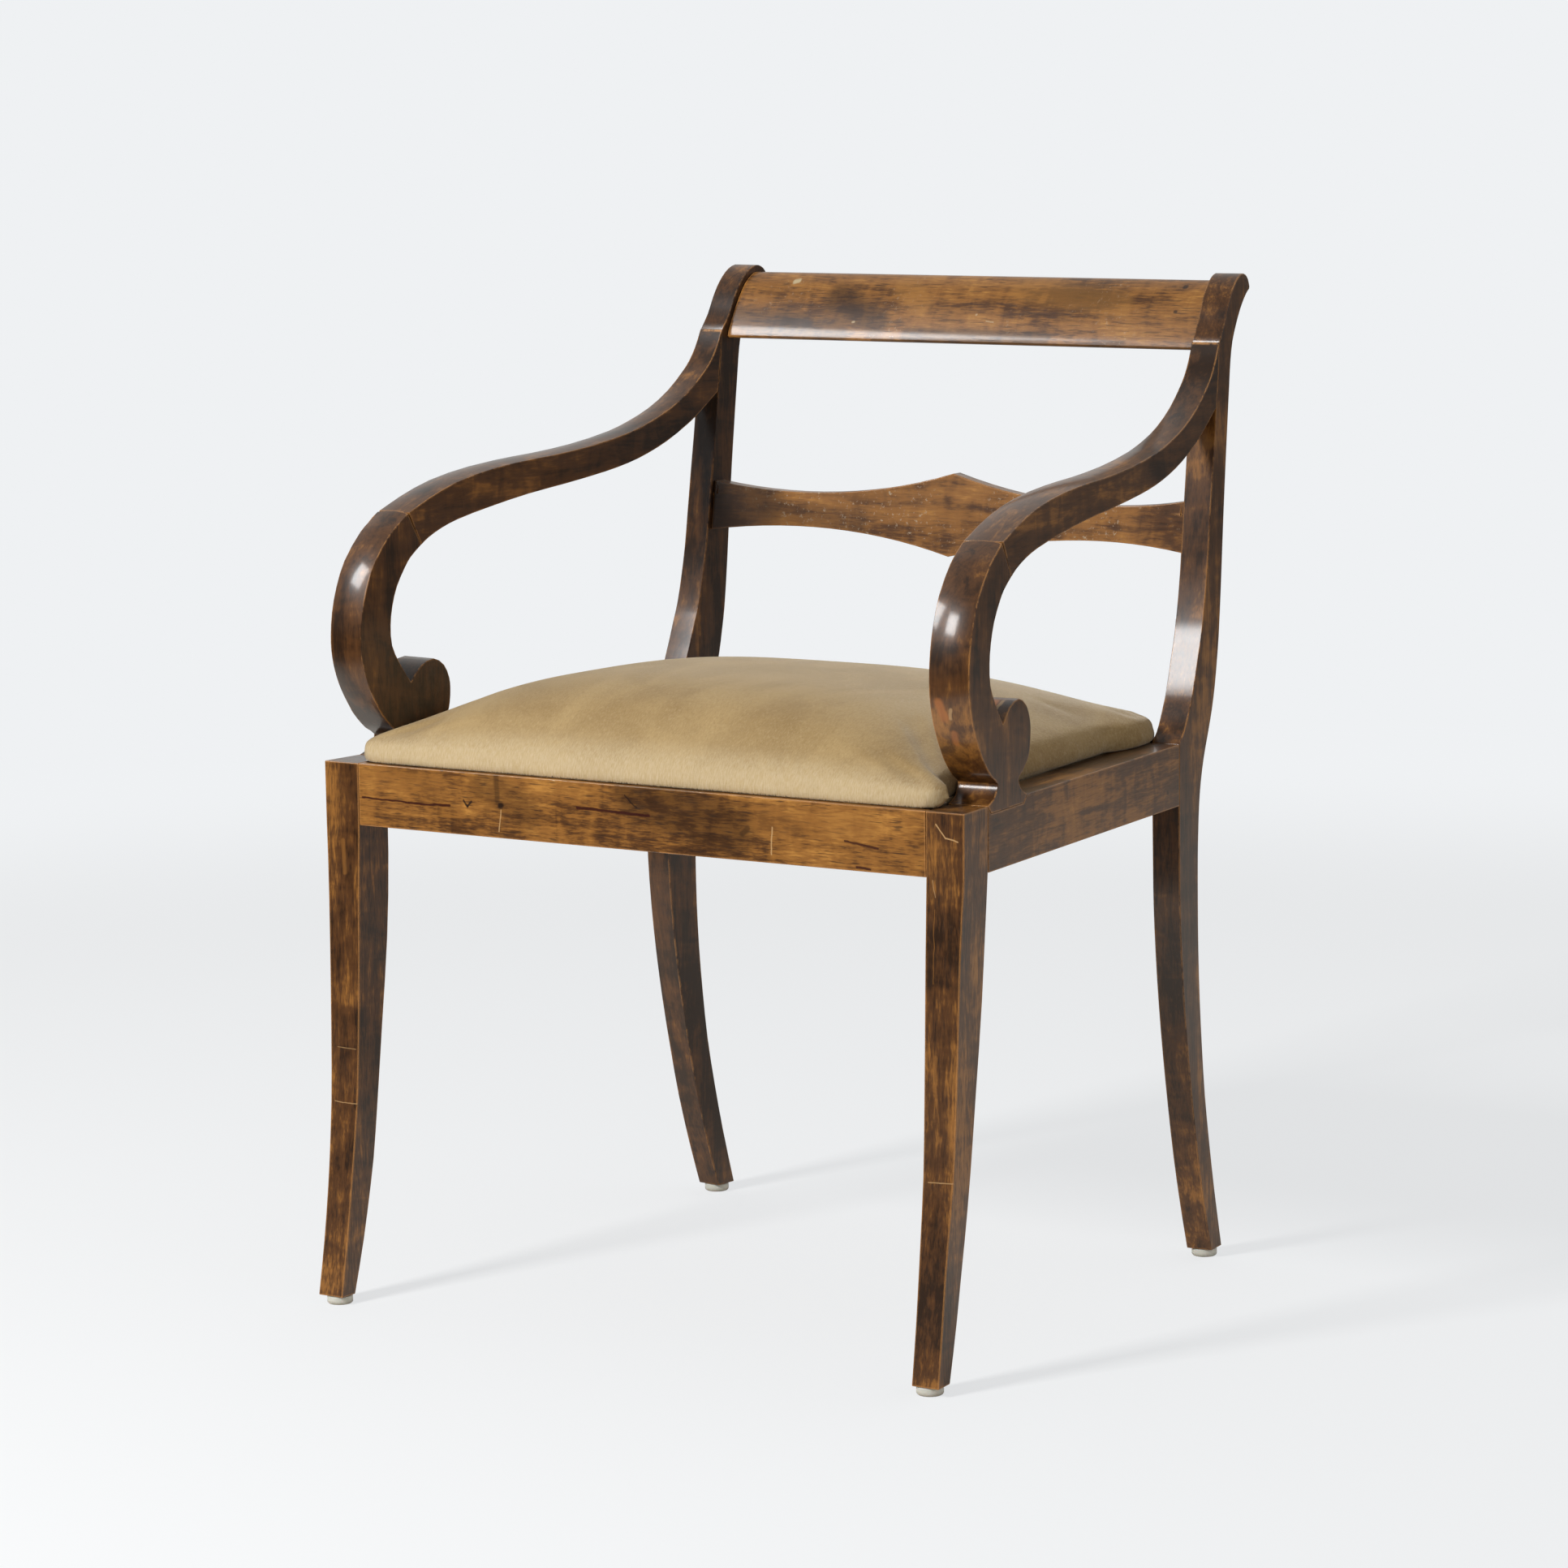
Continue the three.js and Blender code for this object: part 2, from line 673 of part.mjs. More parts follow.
function armInset(s) {
  const part = (s - scroll_taper_start) / (joint_s - scroll_taper_start);
  return arm_front_thick - THREE.MathUtils.clamp(part, 0, 1) * (arm_front_thick - post_thick);
}

// The foot in its notch, wider at the top
function footOutline(grow) {
  const s0 = leg_depth + fit_gap - grow;
  const s1 = leg_depth + fit_gap + foot_length + grow;
  const z0 = rail_top - foot_depth - grow + fit_gap;
  return [[s0, rail_top], [s0 + foot_splay, z0], [s1 - foot_splay, z0], [s1, rail_top]];
}

function scrollOutline() {
  const place = (shares) => spread(shares, 0, rail_top, scroll_depth, scroll_rise);
  const [front_top, front_low, back_low, back_top] = footOutline(0);
  const front = smooth([front_top, ...place(scroll_foot_front_shares), ...place(scroll_outer_shares)]);
  const under = smooth(place(scroll_inner_shares));
  const lobe = smooth([...place(scroll_lobe_shares), back_top]);
  return [front_low, ...front, ...under, ...lobe.slice(1), back_low];
}

// The tongue runs square to the scarf, into the scroll
function tongue(grow) {
  const along = new THREE.Vector2(scarf_bottom[0] - scarf_top[0], scarf_bottom[1] - scarf_top[1]);
  const unit = along.clone().normalize();
  const into = new THREE.Vector2(unit.y, -unit.x);
  const corner = (share, sign, deep) => {
    const p = new THREE.Vector2(...scarf_top).addScaledVector(along, share)
      .addScaledVector(unit, sign * grow).addScaledVector(into, deep);
    return [p.x, p.y];
  };
  const [high, low] = tongue_shares;
  const outline = [corner(high, -1, -overrun), corner(low, 1, -overrun),
    corner(low, 1, tongue_length + grow), corner(high, -1, tongue_length + grow)];
  const middle = arm_front_thick / 2;
  return board(outline, middle - tongue_thick / 2 - grow, middle + tongue_thick / 2 + grow);
}

function upperArmOutline() {
  const run = arm_joint_s - scarf_top[0];
  const top = smooth([...spread(arm_top_shares, ...scarf_top, run, arm_joint_z - scarf_top[1]),
    [arm_joint_s - fit_gap, arm_joint_z]]);
  const crotch = [followUp(post_front_line, crotch_z) - fit_gap, crotch_z];
  const under = smooth([crotch, ...spread(arm_under_shares, ...scarf_bottom,
    crotch[0] - scarf_bottom[0], crotch_z - scarf_bottom[1])]);
  const end = arm_end_shares.map((share) => {
    const z = crotch_z + share * arm_end_height;
    return [followUp(post_front_line, z) - fit_gap, z];
  });
  const shifted = ([s, z]) => [s + fit_gap, z];
  return [shifted(top[0]), ...top.slice(1), ...end, ...under.slice(0, -1), shifted(under.at(-1))];
}

// The dowel between arm and post, with its hole
const dowel_z = arm_joint_z - dowel_drop;
const dowel_s = followUp(post_front_line, dowel_z) - dowel_in_arm;

function dowelHole() {
  const length = dowel_in_arm + dowel_in_post + 2 * fit_gap;
  const place = aimed([dowel_s - fit_gap, post_thick / 2, dowel_z], [1, 0, 0]);
  return moved(rod(dowel_radius + fit_gap, length, dowel_sides), place);
}

// Corner blocks and ledgers, with the screws that hold them

const rail_face = side_rail_thick + fit_gap;
const block_z0 = ledge_z - block_height;
const block_z = ledge_z - block_height / 2;
const front_block_y = front_rail_thick + fit_gap;
const rear_block_y = rear_rail_front - fit_gap;
const front_block_s = runAt(front_block_y, rail_face);
const rear_block_s = runAt(rear_block_y, rail_face);

function blockOutline(y, s, ahead) {
  const x = widthAt(y, rail_face);
  const far = s + ahead * block_leg;
  return [plan(s, rail_face), [x - block_leg, y], [x - block_leg, y + ahead * block_end],
    plan(far, rail_face + block_end), plan(far, rail_face)];
}

// A row for each screw: its node name, where its head's face lies, its direction and length
const block_screw_length = block_screw_grip + screw_bite;
const screw_s_front = front_block_s + block_leg - block_screw_inset;
const screw_s_rear = rear_block_s - block_leg + block_screw_inset;
const screw_x_front = widthAt(front_block_y, rail_face) - block_leg + block_screw_inset;
const screw_x_rear = widthAt(rear_block_y, rail_face) - block_leg + block_screw_inset;
const side_out = [side_cos, side_sin, 0];
const ledger_s0 = front_block_s + block_leg + fit_gap;
const ledger_s1 = rear_block_s - block_leg - fit_gap;
const ledger_z = ledge_z - ledger_height / 2;
const ledger_screw_length = ledger_width + screw_bite;

function sideScrew(name, s, grip, z, length) {
  return { name, point: [...plan(s, rail_face + grip), z], direction: side_out, length };
}

const side_screws = [
  sideScrew('corner_block_screw_front_side', screw_s_front, block_screw_grip, block_z, block_screw_length),
  sideScrew('corner_block_screw_rear_side', screw_s_rear, block_screw_grip, block_z, block_screw_length),
  sideScrew('seat_ledger_screw_front', ledger_s0 + ledger_screw_inset, ledger_width, ledger_z,
    ledger_screw_length),
  sideScrew('seat_ledger_screw_rear', ledger_s1 - ledger_screw_inset, ledger_width, ledger_z,
    ledger_screw_length),
];
const front_screw = {
  name: 'corner_block_screw_front_rail',
  point: [screw_x_front, front_block_y + block_screw_grip, block_z],
  direction: [0, -1, 0],
  length: block_screw_length,
};
const rear_screw = {
  name: 'corner_block_screw_rear_rail',
  point: [screw_x_rear, rear_block_y - block_screw_grip, block_z],
  direction: [0, 1, 0],
  length: block_screw_length,
};

function holeOf(screw) {
  return moved(screwHole(screw.length, block_leg), aimed(screw.point, screw.direction));
}

// The screw that holds the scroll's foot, driven up through the side rail
const scroll_screw_s = leg_depth + fit_gap + foot_length / 2;
const scroll_screw_z = rail_bottom + screw_head_height;
const scroll_screw_place = aimed([scroll_screw_s, side_rail_thick / 2, scroll_screw_z], [0, 0, 1]);
const scroll_screw_hole = moved(screwHole(scroll_screw_length, screw_head_height + overrun),
  scroll_screw_place);

// Feet: a glide and its nail under each leg

const glide_bore = nail_radius + fit_gap;
const glide_profile = [[glide_bore, glide_height], [glide_bore, glide_recess + nail_head_height + fit_gap],
  [nail_head_radius + fit_gap, glide_recess], [nail_head_radius + fit_gap, 0],
  [glide_radius - glide_edge, 0], [glide_radius, glide_edge], [glide_radius, glide_height - glide_edge / 2],
  [glide_radius - glide_edge / 2, glide_height], [glide_bore, glide_height]];
const nail_shape = turned([[0, 0], [nail_head_radius, 0], [nail_radius, nail_head_height],
  [nail_radius, nail_length - nail_radius], [0, nail_length]], screw_sides);
const nail_hole = rod(glide_bore, nail_length + fit_gap, screw_sides);
const front_foot = [leg_inner_x + leg_inner_taper + leg_foot_depth / 2, -leg_sweep + leg_foot_depth / 2];
const rear_foot_s = joint_s + (1 + rear_leg_foot_share) / 2 * rear_leg_sweep;
const rear_foot = plan(rear_foot_s, post_foot_thick / 2);

function nailAt([x, y]) {
  return aimed([x, y, glide_recess], [0, 0, 1]);
}

// Front leg: a section at each height, with the outer face in the side plane

function legSection(share) {
  const z = foot_z + share * (rail_top - foot_z);
  const front = -leg_sweep * follow(leg_front_shares, share);
  const back_run = leg_sweep + leg_depth - leg_foot_depth;
  const back = leg_depth - back_run * follow(leg_back_shares, share);
  const inset = leg_outer_taper * follow(leg_outer_shares, share);
  const inner = leg_inner_x + leg_inner_taper * follow(leg_inner_shares, share);
  const outer_back = plan(back, inset);
  const reach = (half_width - back * side_sin - inner) / side_cos;
  return [[inner, front, z], [widthAt(front, inset), front, z], [...outer_back, z],
    [...plan(back, reach), z]];
}

function frontLeg() {
  const top = (rail_bottom - foot_z) / (rail_top - foot_z);
  const blank = skin([...leg_step_shares, top, 1].map(legSection), [0, 1]);
  return cut(blank, fromSide(sideFrontTenon(fit_gap)), frontTenon(fit_gap),
    moved(nail_hole, nailAt(front_foot)));
}

// Wooden pieces

function sideRail() {
  const blank = sideBlock(leg_depth + fit_gap, joint_s - fit_gap, 0, side_rail_thick, rail_bottom, rail_top);
  const notch = footOutline(fit_gap);
  const open = [[notch[0][0], rail_top + overrun], ...notch, [notch[3][0], rail_top + overrun]];
  const holes = side_screws.map((screw) => toSide(holeOf(screw)));
  return cut(join(blank, sideFrontTenon(0), sideRearTenon(0)),
    board(open, -overrun, side_rail_thick + overrun), scroll_screw_hole, ...holes);
}

function rearPost() {
  const tools = [rearTenon(fit_gap), midTenon(fit_gap), crestTenon(fit_gap),
    moved(nail_hole, nailAt(rear_foot))].map(toSide);
  return cut(board(postOutline(), 0, postInset), sideRearTenon(fit_gap), dowelHole(), ...tools);
}

function frontRail() {
  const section = [[0, rail_bottom], [front_rail_thick, rail_bottom], [front_rail_thick, ledge_z],
    [rail_lip, ledge_z], [rail_lip, rail_top], [0, rail_top]];
  const end = leg_inner_x - fit_gap;
  const tenon = frontTenon(0);
  const hole = holeOf(front_screw);
  return cut(join(across(section, -end, end), tenon, mirrored(tenon)), hole, mirrored(hole));
}

function rearRail() {
  const lip = rear_rail_back - rail_lip;
  const section = [[rear_rail_front, rail_bottom], [rear_rail_back, rail_bottom],
    [rear_rail_back, rail_top], [lip, rail_top], [lip, ledge_z], [rear_rail_front, ledge_z]];
  const end = (y) => widthAt(y, post_thick + fit_gap);
  const tenon = rearTenon(0);
  const hole = holeOf(rear_screw);
  return cut(join(across(section, (y) => -end(y), end), tenon, mirrored(tenon)), hole, mirrored(hole));
}

piece(chair, 'front_seat_rail', frontRail(), dark_birch);
piece(chair, 'rear_seat_rail', rearRail(), dark_birch);
piece(chair, 'crest_rail', crestRail(), dark_birch);
piece(chair, 'back_mid_rail', midRail(), dark_birch);
pair('front_leg', frontLeg(), dark_birch);
sidePair('side_seat_rail', sideRail(), dark_birch);
sidePair('rear_post', rearPost(), dark_birch);
sidePair('arm_scroll', cut(board(scrollOutline(), 0, armInset), tongue(fit_gap), scroll_screw_hole),
  dark_birch);
sidePair('arm_upper', cut(join(board(upperArmOutline(), 0, armInset), tongue(0)), dowelHole()), dark_birch);

// Fixings

sidePair('arm_dowel', rod(dowel_radius, dowel_in_arm + dowel_in_post, dowel_sides), plain_birch,
  aimed([dowel_s, post_thick / 2, dowel_z], [1, 0, 0]));
sidePair('scroll_screw', screwShape(scroll_screw_length), steel, scroll_screw_place);
for (const [end, y, s, ahead, screws] of [
  ['front', front_block_y, front_block_s, 1, [side_screws[0], front_screw]],
  ['rear', rear_block_y, rear_block_s, -1, [side_screws[1], rear_screw]]]) {
  const block = slab(blockOutline(y, s, ahead), block_z0, ledge_z);
  pair(`corner_block_${end}`, cut(block, ...screws.map(holeOf)), plain_birch);
}
const ledger = sideBlock(ledger_s0, ledger_s1, rail_face, rail_face + ledger_width,
  ledge_z - ledger_height, ledge_z);
sidePair('seat_ledger', cut(ledger, ...side_screws.slice(2).map((screw) => toSide(holeOf(screw)))),
  plain_birch);
for (const screw of [...side_screws, front_screw, rear_screw]) {
  pair(screw.name, screwShape(screw.length), steel, aimed(screw.point, screw.direction));
}
for (const [end, place] of [['front', front_foot], ['rear', rear_foot]]) {
  pair(`glide_${end}`, turned(glide_profile, glide_sides), nylon,
    new THREE.Matrix4().makeTranslation(...place, 0));
  pair(`glide_nail_${end}`, nail_shape, steel, nailAt(place));
}

// Loose seat: a halved frame, webbing, hessian, padding and a cover with a skirt

const skirt_inset = side_rail_thick + seat_play;
const skirt_front = rail_lip + seat_play;
const skirt_back = rear_rail_back - rail_lip - seat_play;
const frame_inset = skirt_inset + cover_thick + fit_gap;
const frame_front = skirt_front + cover_thick + fit_gap;
const frame_back = skirt_back - cover_thick - fit_gap;
const frame_z = ledge_z + fit_gap;
const frame_top = frame_z + frame_thick;
const lap_z = frame_z + frame_thick / 2;

// Both sides of the centre line, from a row of points on the right that starts at the front
function bothHands(points) {
  return [...points, ...points.slice(1, -1).reverse().map(([x, y]) => [-x, y])];
}

// The plan of the upholstered edge: it swells over the front corners, is drawn in beside the
// arm scrolls, and swells again over the side rails
function edgeOutline() {
  const corner_y = seat_front + seat_corner_run;
  const front = corner_shares.map(([out, back]) => [out * seat_corner_width,
    seat_front + back * seat_corner_run]);
  const pinch = pinch_run_shares.map((share) => plan(share * joint_s, seat_pinch));
  const bulge = bulge_run_shares.map(([run, share]) => plan(run * joint_s,
    seat_pinch + share * (seat_bulge - seat_pinch)));
  const rear_x = widthAt(seat_back, seat_bulge);
  const rear = rear_corner_shares.map(([out, back]) => [out * rear_x,
    corner_y + back * (seat_back - corner_y)]);
  return bothHands(smooth([[0, seat_front], ...front, ...pinch, ...bulge, ...rear, [0, seat_back]]));
}

// The same points drawn in to the skirt, which hangs between the rails
function skirtOutline(edge) {
  const scale = (skirt_back - skirt_front) / (seat_back - seat_front);
  return edge.map(([x, y]) => {
    const depth = skirt_front + (y - seat_front) * scale;
    return [Math.sign(x) * Math.min(Math.abs(x), widthAt(depth, skirt_inset)), depth];
  });
}

// An outline moved inward by an even distance
function drawnIn(outline, distance) {
  const count = outline.length;
  return outline.map(([x, y], i) => {
    const before = outline[(i + count - 1) % count];
    const after = outline[(i + 1) % count];
    const along = new THREE.Vector2(after[0] - before[0], after[1] - before[1]).normalize();
    return [x - along.y * distance, y + along.x * distance];
  });
}

const seat_edge = edgeOutline();
const skirt_edge = skirtOutline(seat_edge);

// The frame's corners follow the skirt
const frame_edge = drawnIn(skirt_edge, cover_thick + fit_gap);
const frame_limit_z = [frame_z - overrun, frame_top + overrun];
const frame_limit_rings = frame_limit_z.map((z) => frame_edge.map(([x, y]) => [x, y, z]));
const frame_limit = domed(frame_limit_rings, [0, crown_peak_run, frame_limit_z[1]],
  [0, crown_peak_run, frame_limit_z[0]]);

// The front and rear members keep their lower half at the corners, the side members the upper
function seatFrameAcross(y0, y1) {
  const end = (y) => widthAt(y, frame_inset);
  const bar = across(rectangle(y0, y1, frame_z, frame_top), (y) => -end(y), end);
  const lap = across(rectangle(y0 - overrun, y1 + overrun, lap_z - fit_gap / 2, frame_top + overrun),
    (y) => widthAt(y, frame_inset + frame_width + fit_gap), (y) => widthAt(y, -overrun));
  return within(cut(bar, lap, mirrored(lap)), frame_limit);
}

function seatFrameSide() {
  const inner = frame_inset + frame_width;
  const outline = [[widthAt(frame_front, frame_inset), frame_front],
    [widthAt(frame_front, inner), frame_front], [widthAt(frame_back, inner), frame_back],
    [widthAt(frame_back, frame_inset), frame_back]];
  const laps = [[frame_front - overrun, frame_front + frame_width + fit_gap],
    [frame_back - frame_width - fit_gap, frame_back + overrun]];
  const tools = laps.map(([y0, y1]) => across(rectangle(y0, y1, frame_z - overrun, lap_z + fit_gap / 2),
    0, half_width));
  return within(cut(slab(outline, frame_z, frame_top), ...tools), frame_limit);
}

piece(chair, 'seat_frame_front', seatFrameAcross(frame_front, frame_front + frame_width), plain_birch);
piece(chair, 'seat_frame_rear', seatFrameAcross(frame_back - frame_width, frame_back), plain_birch);
pair('seat_frame', seatFrameSide(), plain_birch);

const lengthwise_z = frame_top + fit_gap;
const crosswise_z = lengthwise_z + webbing_thick + fit_gap;
const hessian_z = crosswise_z + webbing_thick + fit_gap;
const padding_z = hessian_z + hessian_thick + fit_gap;
const web_y0 = frame_front + frame_width - webbing_hold;
const web_y1 = frame_back - frame_width + webbing_hold;
const web_x = widthAt(web_y1, frame_inset) * 2 - frame_width;
for (let i = 0; i < webbing_count; i += 1) {
  const part = (i + 1) / (webbing_count + 1);
  const x = (part - 1 / 2) * web_x;
  const y = web_y0 + part * (web_y1 - web_y0);
  const lengthwise = rectangle(x - webbing_width / 2, x + webbing_width / 2, web_y0, web_y1);
  const width = widthAt(y, frame_inset + frame_width - webbing_hold);
  const crosswise = rectangle(-width, width, y - webbing_width / 2, y + webbing_width / 2);
  piece(chair, `webbing_lengthwise_${i + 1}`,
    slab(lengthwise, lengthwise_z, lengthwise_z + webbing_thick), jute);
  piece(chair, `webbing_crosswise_${i + 1}`,
    slab(crosswise, crosswise_z, crosswise_z + webbing_thick), jute);
}

function insideOutline(inset) {
  const y0 = frame_front + inset;
  const y1 = frame_back - inset;
  return bothHands([[0, y0], [widthAt(y0, frame_inset + inset), y0],
    [widthAt(y1, frame_inset + inset), y1], [0, y1]]);
}

piece(chair, 'seat_hessian', slab(insideOutline(hessian_inset), hessian_z, hessian_z + hessian_thick), jute);

// The rings of the upholstered surface, from the hem to the crown, drawn in by a distance.
// A drawn-in surface has fewer rings, which only makes the cloth over it thicker.
function seatRings(inward, hem) {
  const side_rings = inward ? side_inner_ring_shares : side_ring_shares;
  const crown_rings = inward ? crown_inner_ring_shares : crown_ring_shares;
  const edge = drawnIn(seat_edge, inward);
  const skirt = drawnIn(skirt_edge, inward);
  const side_z = rail_top + fit_gap;
  const edge_z = rail_top + crown_edge_rise - inward;
  const blend = (share, z) => edge.map(([x, y], i) => [
    skirt[i][0] + share * (x - skirt[i][0]), skirt[i][1] + share * (y - skirt[i][1]), z]);
  const shrink = (ring, share, z) => ring.map(([x, y]) => [
    share * x, crown_peak_run + share * (y - crown_peak_run), z]);
  const crown = (share) => edge_z
    + (crown_rise - crown_edge_rise) * (1 - share ** crown_power_share);
  const widest = side_rings.findIndex(([out]) => out === 1);
  const widest_z = side_z + side_rings[widest][1] * (edge_z - side_z);
  const rings = [blend(Math.max(0, (hem - side_z) / (widest_z - side_z)), hem)];
  side_rings.forEach(([out, up], i) => {
    const z = side_z + up * (edge_z - side_z);
    if (z > hem) {
      rings.push(i <= widest ? blend(out, z) : shrink(edge, out, z));
    }
  });
  crown_rings.forEach((share) => rings.push(shrink(edge, share, crown(share))));
  return { rings, peak: [0, crown_peak_run, crown(0)] };
}

function coverGeometry() {
  const hem = ledge_z + skirt_lift;
  const outer = seatRings(0, hem);
  const inner = seatRings(cover_thick, hem);
  const points = [...outer.rings.flat(), outer.peak, ...inner.rings.flat(), inner.peak];
  const start = outer.rings.flat().length + 1;
  const count = outer.rings[0].length;
  const faces = [...domeFaces(outer.rings, 0),
    ...domeFaces(inner.rings, start).map(([a, b, c]) => [a, c, b])];
  for (let i = 0; i < count; i += 1) {
    const j = (i + 1) % count;
    faces.push([i, start + i, start + j], [i, start + j, j]);
  }
  return outward(points, faces);
}

function paddingGeometry() {
  const { rings, peak } = seatRings(cover_thick + padding_play, padding_z);
  return domed(rings, peak, [peak[0], peak[1], padding_z]);
}

piece(chair, 'seat_padding', paddingGeometry(), stuffing);
piece(chair, 'seat_cover', coverGeometry(), mohair);

// The origin goes to the middle of the chair's box, on the floor
chair.updateMatrixWorld(true);
const box = new THREE.Box3().setFromObject(chair, true);
const model = new THREE.Group();
chair.position.y = -(box.min.y + box.max.y) / 2;
model.add(chair);

export default model;
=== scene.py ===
# %% [markdown]
# A klismos armchair in stained birch, dressed in Blender around its finished frame.
#
# The frame holds every solid at its real size and place, and this lesson gives it its looks:
# a worn dark stain on the wood, a padded seat in short mohair pile, and plain hardware below.
# Each step first says what the real piece is, and then builds it in short cells.

# %% Load the frame
import json
import math

import bmesh
import bpy
import numpy as np
from mathutils import Matrix, Vector
from mathutils.bvhtree import BVHTree

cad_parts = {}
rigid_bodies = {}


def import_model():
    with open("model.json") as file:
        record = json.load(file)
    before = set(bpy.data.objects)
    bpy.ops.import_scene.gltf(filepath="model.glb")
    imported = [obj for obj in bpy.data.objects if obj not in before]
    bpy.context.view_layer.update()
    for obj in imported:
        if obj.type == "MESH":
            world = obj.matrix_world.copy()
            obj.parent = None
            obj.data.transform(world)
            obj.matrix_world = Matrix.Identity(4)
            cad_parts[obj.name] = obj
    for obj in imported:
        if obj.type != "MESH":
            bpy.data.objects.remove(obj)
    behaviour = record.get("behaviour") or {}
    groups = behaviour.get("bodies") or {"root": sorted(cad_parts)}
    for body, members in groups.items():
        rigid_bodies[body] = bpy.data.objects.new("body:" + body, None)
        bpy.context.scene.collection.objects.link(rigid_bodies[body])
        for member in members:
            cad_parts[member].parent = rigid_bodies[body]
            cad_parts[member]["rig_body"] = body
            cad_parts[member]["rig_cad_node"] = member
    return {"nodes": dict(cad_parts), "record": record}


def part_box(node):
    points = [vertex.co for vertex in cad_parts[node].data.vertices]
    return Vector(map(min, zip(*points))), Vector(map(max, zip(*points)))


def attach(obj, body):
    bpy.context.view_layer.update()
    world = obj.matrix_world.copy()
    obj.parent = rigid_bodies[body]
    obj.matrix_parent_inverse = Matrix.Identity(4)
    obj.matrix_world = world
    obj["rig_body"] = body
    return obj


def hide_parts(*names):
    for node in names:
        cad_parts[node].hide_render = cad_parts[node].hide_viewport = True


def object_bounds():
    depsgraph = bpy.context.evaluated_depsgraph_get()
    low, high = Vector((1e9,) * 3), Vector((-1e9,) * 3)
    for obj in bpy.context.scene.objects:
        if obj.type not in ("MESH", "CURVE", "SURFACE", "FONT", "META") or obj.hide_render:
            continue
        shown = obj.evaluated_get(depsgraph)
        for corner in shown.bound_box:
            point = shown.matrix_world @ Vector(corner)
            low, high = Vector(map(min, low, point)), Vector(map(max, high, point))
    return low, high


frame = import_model()
nodes = frame["nodes"]
bodies = frame["record"]["behaviour"]["bodies"]
body_of = {node: body for body, names in bodies.items() for node in names}
cad_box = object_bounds()

# %% [markdown]
# The photograph was taken from above the arms, with a long lens, and the chair fills three
# quarters of its height. The camera could be moved by eye until it looks right, but a long
# lens hides small errors. So its place, turn and lens were worked out from the corners of the
# chair, to fall where the photograph has them.

# %% Camera
CAMERA_PLACE = (2.2832, -3.4908, 1.0224)
CAMERA_YAW = 33.485
CAMERA_DROP = 8.460
CAMERA_ROLL = -0.853
CAMERA_LENS = 120.75
CAMERA_REACH = 100
RIGHT_ANGLE = 90

bpy.ops.object.camera_add(location=CAMERA_PLACE)
camera = bpy.context.object
aim = Matrix.Rotation(math.radians(CAMERA_YAW), 4, "Z")
aim = aim @ Matrix.Rotation(math.radians(RIGHT_ANGLE - CAMERA_DROP), 4, "X")
aim = aim @ Matrix.Rotation(math.radians(CAMERA_ROLL), 4, "Z")
camera.rotation_euler = aim.to_euler()
camera.data.lens = CAMERA_LENS
camera.data.clip_end = CAMERA_REACH
bpy.context.scene.camera = camera
bpy.context.scene.view_settings.view_transform = "Standard"
print("camera", CAMERA_LENS, "mm lens at", CAMERA_PLACE)

# %% [markdown]
# A finish is a tree of nodes. It could be drawn by hand in the shader editor, but then nobody
# could read why each node is there. A small helper adds one node a line instead, and takes
# either a number or another node's output for each input.

# %% One node at a time
class Tree:
    """One node tree, made node by node: a material's, or the world's."""

    def __init__(self, name, owner=None, end="ShaderNodeOutputMaterial"):
        self.owner = owner or bpy.data.materials.new(name)
        self.owner.use_nodes = True
        self.tree = self.owner.node_tree
        self.tree.nodes.clear()
        self.output = self.tree.nodes.new(end)

    def add(self, kind, inputs, out=0, **settings):
        """Adds a node, sets what it is given, and returns one of its outputs."""
        node = self.tree.nodes.new(kind)
        for key, value in settings.items():
            setattr(node, key, value)
        for key, value in inputs.items():
            if isinstance(value, bpy.types.NodeSocket):
                self.tree.links.new(value, node.inputs[key])
            else:
                node.inputs[key].default_value = value
        return node.outputs[out]

    def finish(self, shader):
        self.tree.links.new(shader, self.output.inputs["Surface"])
        return self.owner

    def place(self, turn=(0, 0, 0), shift=(0, 0, 0)):
        """The piece's own place, turned by degrees and then shifted."""
        at = self.add("ShaderNodeTexCoord", {}, out="Object")
        turns = [math.radians(angle) for angle in turn]
        return self.add("ShaderNodeMapping", {"Vector": at, "Rotation": turns, "Location": shift})

    def vector(self, operation, a, b=(0, 0, 0), out=0):
        return self.add("ShaderNodeVectorMath", {0: a, 1: b}, out=out, operation=operation)

    def stretched(self, at, stretch):
        return self.vector("MULTIPLY", at, stretch)

    def dot(self, a, b):
        """1 where two directions are the same, and 0 where they are square to each other."""
        return self.vector("DOT_PRODUCT", a, b, out="Value")

    def part(self, at, axis):
        """One of a place's three coordinates: 0 for x, 1 for y and 2 for z."""
        return self.add("ShaderNodeSeparateXYZ", {"Vector": at}, out=axis)


print("places come from a piece's own coordinates, so that a pattern moves with it")

# %% [markdown]
# Most finishes are built from the same few steps: a noise, a band of its values carried onto
# another range, two colours mixed by it, a bump, and the shader at the end. With one method
# for each, a finish reads from top to bottom like a recipe.

